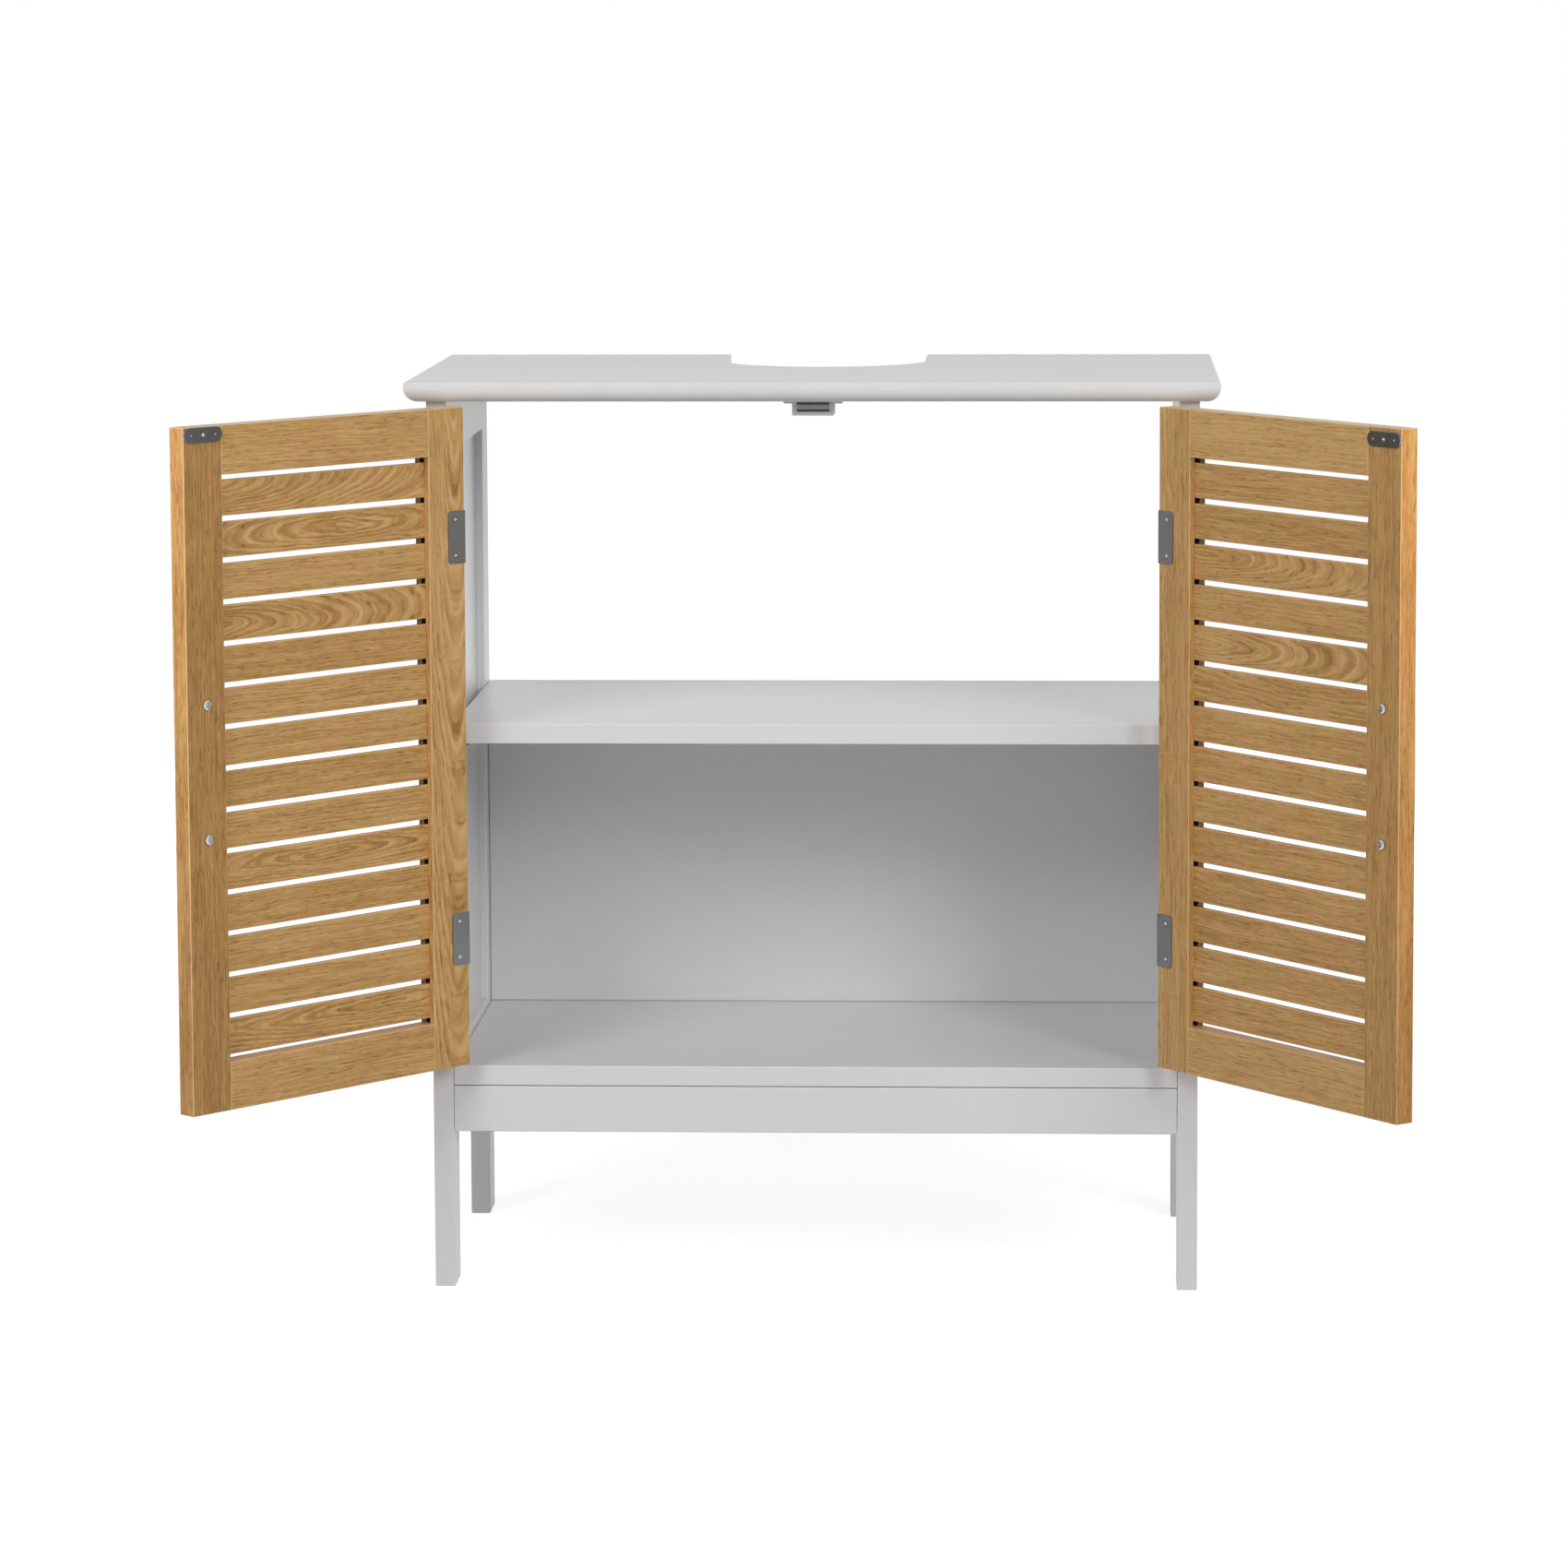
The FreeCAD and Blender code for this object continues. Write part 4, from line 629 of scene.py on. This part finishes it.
def oak_material(name, door, low, high, upright, figures, seed, oak, pitch=None):
    """Oak on one board, or on a stack of like boards whose lower edges lie a pitch apart."""
    made, graph, shader, place = new_material(name)
    point = door.point(graph, place)
    x, y, z = graph.split(point)
    middle = (low + high) / 2
    if pitch:
        number, z, figure = stacked(graph, graph.minus(z, low.z), figures, pitch)
        board_height = high.z - low.z - (len(figures) - 1) * pitch
        across = graph.minus(z, board_height / 2)
        seed = graph.plus(number, seed)
        edges = {"Point": graph.combine(x, y, z), "Low": (low.x, low.y, 0.0),
                 "High": (high.x, high.y, board_height)}
    else:
        across = graph.minus(x, middle.x) if upright else graph.minus(z, middle.z)
        figure = figures[0]
        edges = {"Point": point, "Low": low, "High": high}
    pith, slope, turn, flame, shade = figure
    along = graph.minus(z, low.z) if upright else graph.distance(x, door.hinge_x)
    wood = graph.group(shared("Oak Figure", build_oak_figure), Along=along, Across=across,
                       Through=graph.minus(y, middle.y), Pith=pith, Slope=slope, Turn=turn,
                       Flame=flame, Seed=seed, Ring=oak.ring / MM)
    tone = graph.math("ADD", wood["Tone"], shade, clamp=True)
    body = graph.ramp(tone, [(0.0, oak.dark), (MIDDLE_TONE, oak.middle), (1.0, oak.pale)])
    body = graph.blend(1.0, body, graph.blend(wood["Hue"], *HUES), "MULTIPLY")

    # Painted highlight along the board's edges.
    edge = graph.group(shared("Edge Distance", build_edge_distance), **edges)
    arris_highlight_width = oak.arris_highlight_width / MM
    arris = graph.step(edge["Distance"], arris_highlight_width, arris_highlight_width * EDGE_CORE)
    body = graph.blend(graph.times(arris, EDGE_HIGHLIGHT_STRENGTH), body, oak.arris)
    # Painted light from above on the door's upper edge.
    if high.z > door.top - TOUCH:
        top_light = graph.step(graph.minus(high.z, z), *TOP_LIGHT_FADE)
        body = graph.blend(graph.times(top_light, TOP_LIGHT_STRENGTH), body, oak.lit_top_edge)
    if upright:
        body = stile_details(graph, body, (x, y, z), low, high, door, oak)
    graph.put(shader.inputs["Base Color"], body)
    roughness = graph.minus(OAK_ROUGHNESS, graph.times(tone, OAK_SMOOTHING))
    graph.put(shader.inputs["Roughness"], roughness)
    graph.put(shader.inputs["Specular IOR Level"], 0.35)
    graph.bump(shader, wood["Height"], strength=0.22, depth=0.15 * MM)
    return made


def stile_details(graph, body, point, low, high, door, oak):
    """Paints shade inside a stile's groove and the slats' shadow on its outer lip, which show
    past the slats, and tints the strip on the door's free edge, with painted light that makes the
    strip paler at its top than at its foot."""
    x, y, z = point
    middle = (low + high) / 2
    inward = 1.0 if middle.x < sum(door.between) / 2 else -1.0
    grooved_side, plain_side = (high.x, low.x) if inward > 0 else (low.x, high.x)
    from_groove = graph.times(graph.minus(grooved_side, x), inward)
    # Painted shade inside the groove.
    inside = graph.times(graph.step(from_groove, *GROOVE_MOUTH),
                         graph.step(from_groove, *GROOVE_FLOOR))
    inside = graph.times(inside, graph.step(graph.distance(y, middle.y), *GROOVE_CHEEK))
    body = graph.blend(graph.times(inside, GROOVE_SHADE_STRENGTH), body, oak.groove)
    # Painted shadow of the slats on the groove's outer lip.
    lip = graph.times(graph.step(graph.minus(middle.y, y), *LIP_START),
                      graph.step(from_groove, *LIP_FACE))
    body = graph.blend(graph.times(lip, LIP_SHADOW_STRENGTH), body, oak.groove)
    if abs(plain_side - door.free_x) < TOUCH:
        # Painted light: the strip is paler at its top than at its foot.
        rise = graph.times(graph.minus(z, middle.z), oak.edge_top_light / (high.z - low.z))
        strip = oak.left_edge_and_light if door.side == "left" else oak.right_edge_and_light
        tinted = graph.blend(1.0, body, graph.scaled(strip, graph.plus(1.0, rise)), "MULTIPLY")
        free_edge = graph.step(graph.distance(x, plain_side), *FREE_EDGE_FADE)
        body = graph.blend(free_edge, body, tinted)
    return body


def veneer_door(side, oak):
    """Oak on every board of one door, and on its stack of slats."""
    door = Door(side)
    for piece, seed in SEEDS.items():
        low, high = door.box(piece)
        node = side + "_door_" + piece
        name = "oak " + node.replace("_", " ")
        seed_here = seed + DOOR_SEED_STRIDE * SIDES.index(side)
        if piece == "slats":
            gap = door.rail_under - high.z
            pitch = (high.z - low.z + gap) / len(SLATS[side])
            made = oak_material(name, door, low, high, False, SLATS[side], seed_here, oak, pitch)
        else:
            if piece.endswith("rail"):
                low.x, high.x = door.between
            made = oak_material(name, door, low, high, piece.endswith("stile"), [BOARDS[node]],
                                seed_here, oak)
        wear(node, made)


# ---------------------------------------------------------------- fittings
# Depth in mm over which a recess turns bright, as wear and a painted glint, and spread of the
# roughness over the lines.
WEAR_GLINT_FADE = (0.05, 0.20)
LINE_ROUGHNESS = 0.16
MOULDED_DARKEST, MOULDED_SPREAD = 0.9, 0.2


def metal(name, base, roughness, uneven=0.12, wear_and_glint=None):
    """Plated or brushed metal with fine lines and faint stains. Where a door, a face (y in mm
    while it is closed) and a colour are given for wear and glint, what lies deeper than the face
    takes
    that colour: wear, and a painted glint."""
    made, graph, shader, place = new_material(name)
    sheet = graph.group(shared("Brushed Metal", build_brushed_metal),
                        Point=graph.scaled(place, 1 / MM))
    body = graph.scaled(base, graph.plus(1.0 - uneven, graph.times(sheet["Stain"], 2 * uneven)))
    # Wear and a painted glint on what lies deeper than the face.
    if wear_and_glint:
        door, face, bare = wear_and_glint
        depth = graph.minus(face, graph.split(door.point(graph, place))[1])
        body = graph.blend(graph.step(depth, *WEAR_GLINT_FADE), body, bare)
    graph.put(shader.inputs["Base Color"], body)
    lines = graph.times(sheet["Line"], LINE_ROUGHNESS)
    graph.put(shader.inputs["Roughness"], graph.plus(roughness - LINE_ROUGHNESS / 2, lines))
    graph.put(shader.inputs["Metallic"], 1.0)
    graph.bump(shader, sheet["Line"], strength=0.08, depth=0.05 * MM)
    return made


def moulded(name, base, roughness, grain):
    """Moulded or pressed matter, or bare wood, with a fine even grain."""
    made, graph, shader, place = new_material(name)
    film = graph.group(shared("Paint Film", build_paint_film),
                       Point=graph.scaled(place, 1 / MM), Peel=grain / MM)
    shade = graph.plus(MOULDED_DARKEST, graph.times(film["Cloud"], MOULDED_SPREAD))
    graph.put(shader.inputs["Base Color"], graph.scaled(base, shade))
    graph.put(shader.inputs["Roughness"], roughness)
    graph.bump(shader, film["Height"], strength=0.15, depth=0.05 * MM)
    return made


# ---------------------------------------------------------------- studio
# Softboxes: setting that holds the power, place, width and height.
LAMPS = {
    "key softbox": ("key_power", (2.1, -2.65, 2.0), (1.6, 1.6)),
    "fill softbox": ("fill_power", (-1.5, -2.4, 2.15), (1.3, 1.3)),
    "rear softbox": ("rear_power", (0.0, 3.0, 0.6), (2.4, 1.1)),
}
LAMP_AIM = Vector((0.0, 0.0, 0.40))
# Upward part of a direction over which the surround weakens, and distance over which the
# lamps' light on the floor thins out.
ZENITH_FADE = (0.60, 0.88)
FLOOR_FADE = (0.6, 2.4)
CAMERA_PLACE = (0.1904, -4.2143, 0.9632)
# In degrees.
CAMERA_YAW, CAMERA_PITCH, CAMERA_ROLL = 2.161, -6.193, 0.172
CAMERA_SHIFT = (-0.05, -0.12)


def hang_lamp(name, place, size, watts):
    """A soft rectangular lamp that neither the camera nor a shiny face sees."""
    data = bpy.data.lights.new(name, "AREA")
    data.shape = "RECTANGLE"
    data.size, data.size_y = size
    data.energy = watts
    made = bpy.data.objects.new(name, data)
    bpy.context.scene.collection.objects.link(made)
    made.location = place
    made.rotation_euler = (LAMP_AIM - Vector(place)).to_track_quat("-Z", "Y").to_euler()
    made.visible_camera = False
    made.visible_glossy = False


def looked_at(graph):
    """1 for rays that come from the camera, straight or by gloss or glass."""
    path = graph.add("ShaderNodeLightPath").outputs
    return graph.math("MAXIMUM", path["Is Camera Ray"],
                      graph.math("MAXIMUM", path["Is Glossy Ray"], path["Is Transmission Ray"]))


def build_world(stage):
    """A plain white surround that lights the cabinet less from straight above."""
    world = bpy.data.worlds.new("plain surround")
    world.use_nodes = True
    graph = Graph(world.node_tree)
    surround = world.node_tree.nodes["Background"]
    graph.put(surround.inputs["Color"], WHITE)
    upward = graph.split(graph.add("ShaderNodeTexCoord").outputs["Object"])[2]
    weaker = graph.times(graph.step(upward, *ZENITH_FADE), stage.overhead)
    level = graph.minus(stage.ambient, weaker)
    extra = graph.times(looked_at(graph), graph.minus(1.0, level))
    graph.put(surround.inputs["Strength"], graph.plus(level, extra))
    bpy.context.scene.world = world


def build_floor(stage):
    """A pale floor that looks white where nothing shades it."""
    bpy.ops.object.select_all(action="DESELECT")
    bpy.ops.mesh.primitive_plane_add(size=stage.floor_size, location=(0.0, 0.0, 0.0))
    floor = bpy.context.object
    floor.name = "floor"
    made, graph, shader, place = new_material("pale floor")
    far = graph.step(graph.vector("LENGTH", place), *FLOOR_FADE)
    glow = graph.plus(stage.floor_glow, graph.times(far, stage.far_glow - stage.floor_glow))
    graph.put(shader.inputs["Base Color"], stage.floor)
    graph.put(shader.inputs["Roughness"], 0.9)
    graph.put(shader.inputs["Specular IOR Level"], 0.1)
    graph.put(shader.inputs["Emission Color"], WHITE)
    graph.put(shader.inputs["Emission Strength"], graph.times(looked_at(graph), glow))
    floor.data.materials.append(made)


def build_camera(stage):
    """A level-headed view from the front, a little above the top of the cabinet."""
    data = bpy.data.cameras.new("front view")
    camera = bpy.data.objects.new("front view", data)
    bpy.context.scene.collection.objects.link(camera)
    data.sensor_width = 36.0
    data.lens = stage.lens / MM
    data.shift_x, data.shift_y = CAMERA_SHIFT
    data.clip_end = 50.0
    turned = (Matrix.Rotation(math.radians(CAMERA_YAW), 3, "Z")
              @ Matrix.Rotation(math.radians(CAMERA_PITCH), 3, "X")
              @ Matrix.Rotation(math.radians(CAMERA_ROLL), 3, "Y"))
    right, forward, up = turned.col
    placed = Matrix((right, up, -forward)).transposed().to_4x4()
    placed.translation = Vector(CAMERA_PLACE)
    camera.matrix_world = placed
    bpy.context.scene.camera = camera


# ---------------------------------------------------------------- operators
class CABINET_OT_paint_carcass(bpy.types.Operator):
    """Paints the posts, rails, panels, shelf and top"""
    bl_idname = "cabinet.paint_carcass"
    bl_label = "Paint Carcass"

    def execute(self, context):
        for node in nodes_in("white_lacquer"):
            paint_board(node, context.scene.cabinet_paint)
        return {"FINISHED"}


class CABINET_OT_veneer_doors(bpy.types.Operator):
    """Gives every board of both doors its own oak"""
    bl_idname = "cabinet.veneer_doors"
    bl_label = "Veneer Doors"

    def execute(self, context):
        for side in SIDES:
            veneer_door(side, context.scene.cabinet_oak)
        return {"FINISHED"}


class CABINET_OT_plate_hinges(bpy.types.Operator):
    """Plates the hinge leaves and the strike plates in two shades of nickel"""
    bl_idname = "cabinet.plate_hinges"
    bl_label = "Plate Hinges"

    def execute(self, context):
        plating = context.scene.cabinet_fittings
        wear_all("dark_nickel", metal("dark nickel", plating.nickel, 0.40))
        for side in SIDES:
            door = Door(side)
            # Strike plates and screws turn paler where they lie deeper than their face: wear and
            # painted glints.
            for piece, base, bare in (("strike_plate", plating.slate, plating.nickel),
                                      ("strike_screw", plating.slate, plating.bare),
                                      ("hinge_screws", plating.nickel, plating.bare)):
                node = side + "_door_" + piece
                face = door.box(piece)[1].y
                wear(node, metal("nickel " + node.replace("_", " "), base, 0.24,
                                 wear_and_glint=(door, face, bare)))
        return {"FINISHED"}


class CABINET_OT_finish_catch(bpy.types.Operator):
    """Finishes the housing, magnet and pole plates of the catch"""
    bl_idname = "cabinet.finish_catch"
    bl_label = "Finish Catch"

    def execute(self, context):
        fittings = context.scene.cabinet_fittings
        wear_all("grey_plastic", moulded("grey plastic", fittings.plastic, 0.45, 0.6 * MM))
        wear_all("magnet_ferrite", moulded("ferrite", fittings.magnet, 0.7, 0.3 * MM))
        # The pole plates are near black: painted shade.
        wear_all("pole_steel", metal("pole steel", fittings.pole, 0.5))
        return {"FINISHED"}


class CABINET_OT_finish_handles(bpy.types.Operator):
    """Brushes the bow handles"""
    bl_idname = "cabinet.finish_handles"
    bl_label = "Finish Handles"

    def execute(self, context):
        steel = context.scene.cabinet_fittings.steel
        wear_all("satin_steel", metal("satin steel", steel, 0.32, uneven=0.05))
        return {"FINISHED"}


class CABINET_OT_finish_fasteners(bpy.types.Operator):
    """Finishes the screws, hinge pins, shelf supports, cams and dowels"""
    bl_idname = "cabinet.finish_fasteners"
    bl_label = "Finish Fasteners"

    def execute(self, context):
        fittings = context.scene.cabinet_fittings
        wear_all("bright_zinc", metal("bright zinc", fittings.zinc, 0.20, uneven=0.08))
        wear_all("cast_zinc", metal("cast zinc", fittings.cast, 0.5))
        wear_all("beech_dowel", moulded("beech", fittings.beech, 0.7, 1.2 * MM))
        return {"FINISHED"}


class CABINET_OT_set_stage(bpy.types.Operator):
    """Lays the floor, hangs the lamps and sets up the camera"""
    bl_idname = "cabinet.set_stage"
    bl_label = "Set Stage"

    def execute(self, context):
        stage = context.scene.cabinet_stage
        build_world(stage)
        build_floor(stage)
        for name, (setting, place, size) in LAMPS.items():
            hang_lamp(name, place, size, getattr(stage, setting))
        build_camera(stage)
        context.scene.view_settings.view_transform = "Standard"
        return {"FINISHED"}


OPERATORS = (CABINET_OT_paint_carcass, CABINET_OT_veneer_doors, CABINET_OT_plate_hinges,
             CABINET_OT_finish_catch, CABINET_OT_finish_handles, CABINET_OT_finish_fasteners,
             CABINET_OT_set_stage)


class CABINET_PT_tools(bpy.types.Panel):
    """Lists the steps that dress the cabinet"""
    bl_label = "Louvred Door Cabinet"
    bl_idname = "CABINET_PT_tools"
    bl_space_type = "VIEW_3D"
    bl_region_type = "UI"
    bl_category = "Cabinet"

    def draw(self, context):
        for operator in OPERATORS:
            self.layout.operator(operator.bl_idname)


SETTINGS = {"cabinet_paint": PaintSettings, "cabinet_oak": OakSettings,
            "cabinet_fittings": FittingSettings, "cabinet_stage": StageSettings}
CLASSES = (*SETTINGS.values(), *OPERATORS, CABINET_PT_tools)


def register():
    for made in CLASSES:
        bpy.utils.register_class(made)
    for name, group in SETTINGS.items():
        setattr(bpy.types.Scene, name, PointerProperty(type=group))


def unregister():
    for name in SETTINGS:
        delattr(bpy.types.Scene, name)
    for made in reversed(CLASSES):
        bpy.utils.unregister_class(made)


def main():
    register()
    bpy.ops.cabinet.paint_carcass()
    bpy.ops.cabinet.veneer_doors()
    bpy.ops.cabinet.plate_hinges()
    bpy.ops.cabinet.finish_catch()
    bpy.ops.cabinet.finish_handles()
    bpy.ops.cabinet.finish_fasteners()
    bpy.ops.cabinet.set_stage()


if __name__ == "__main__":
    main()
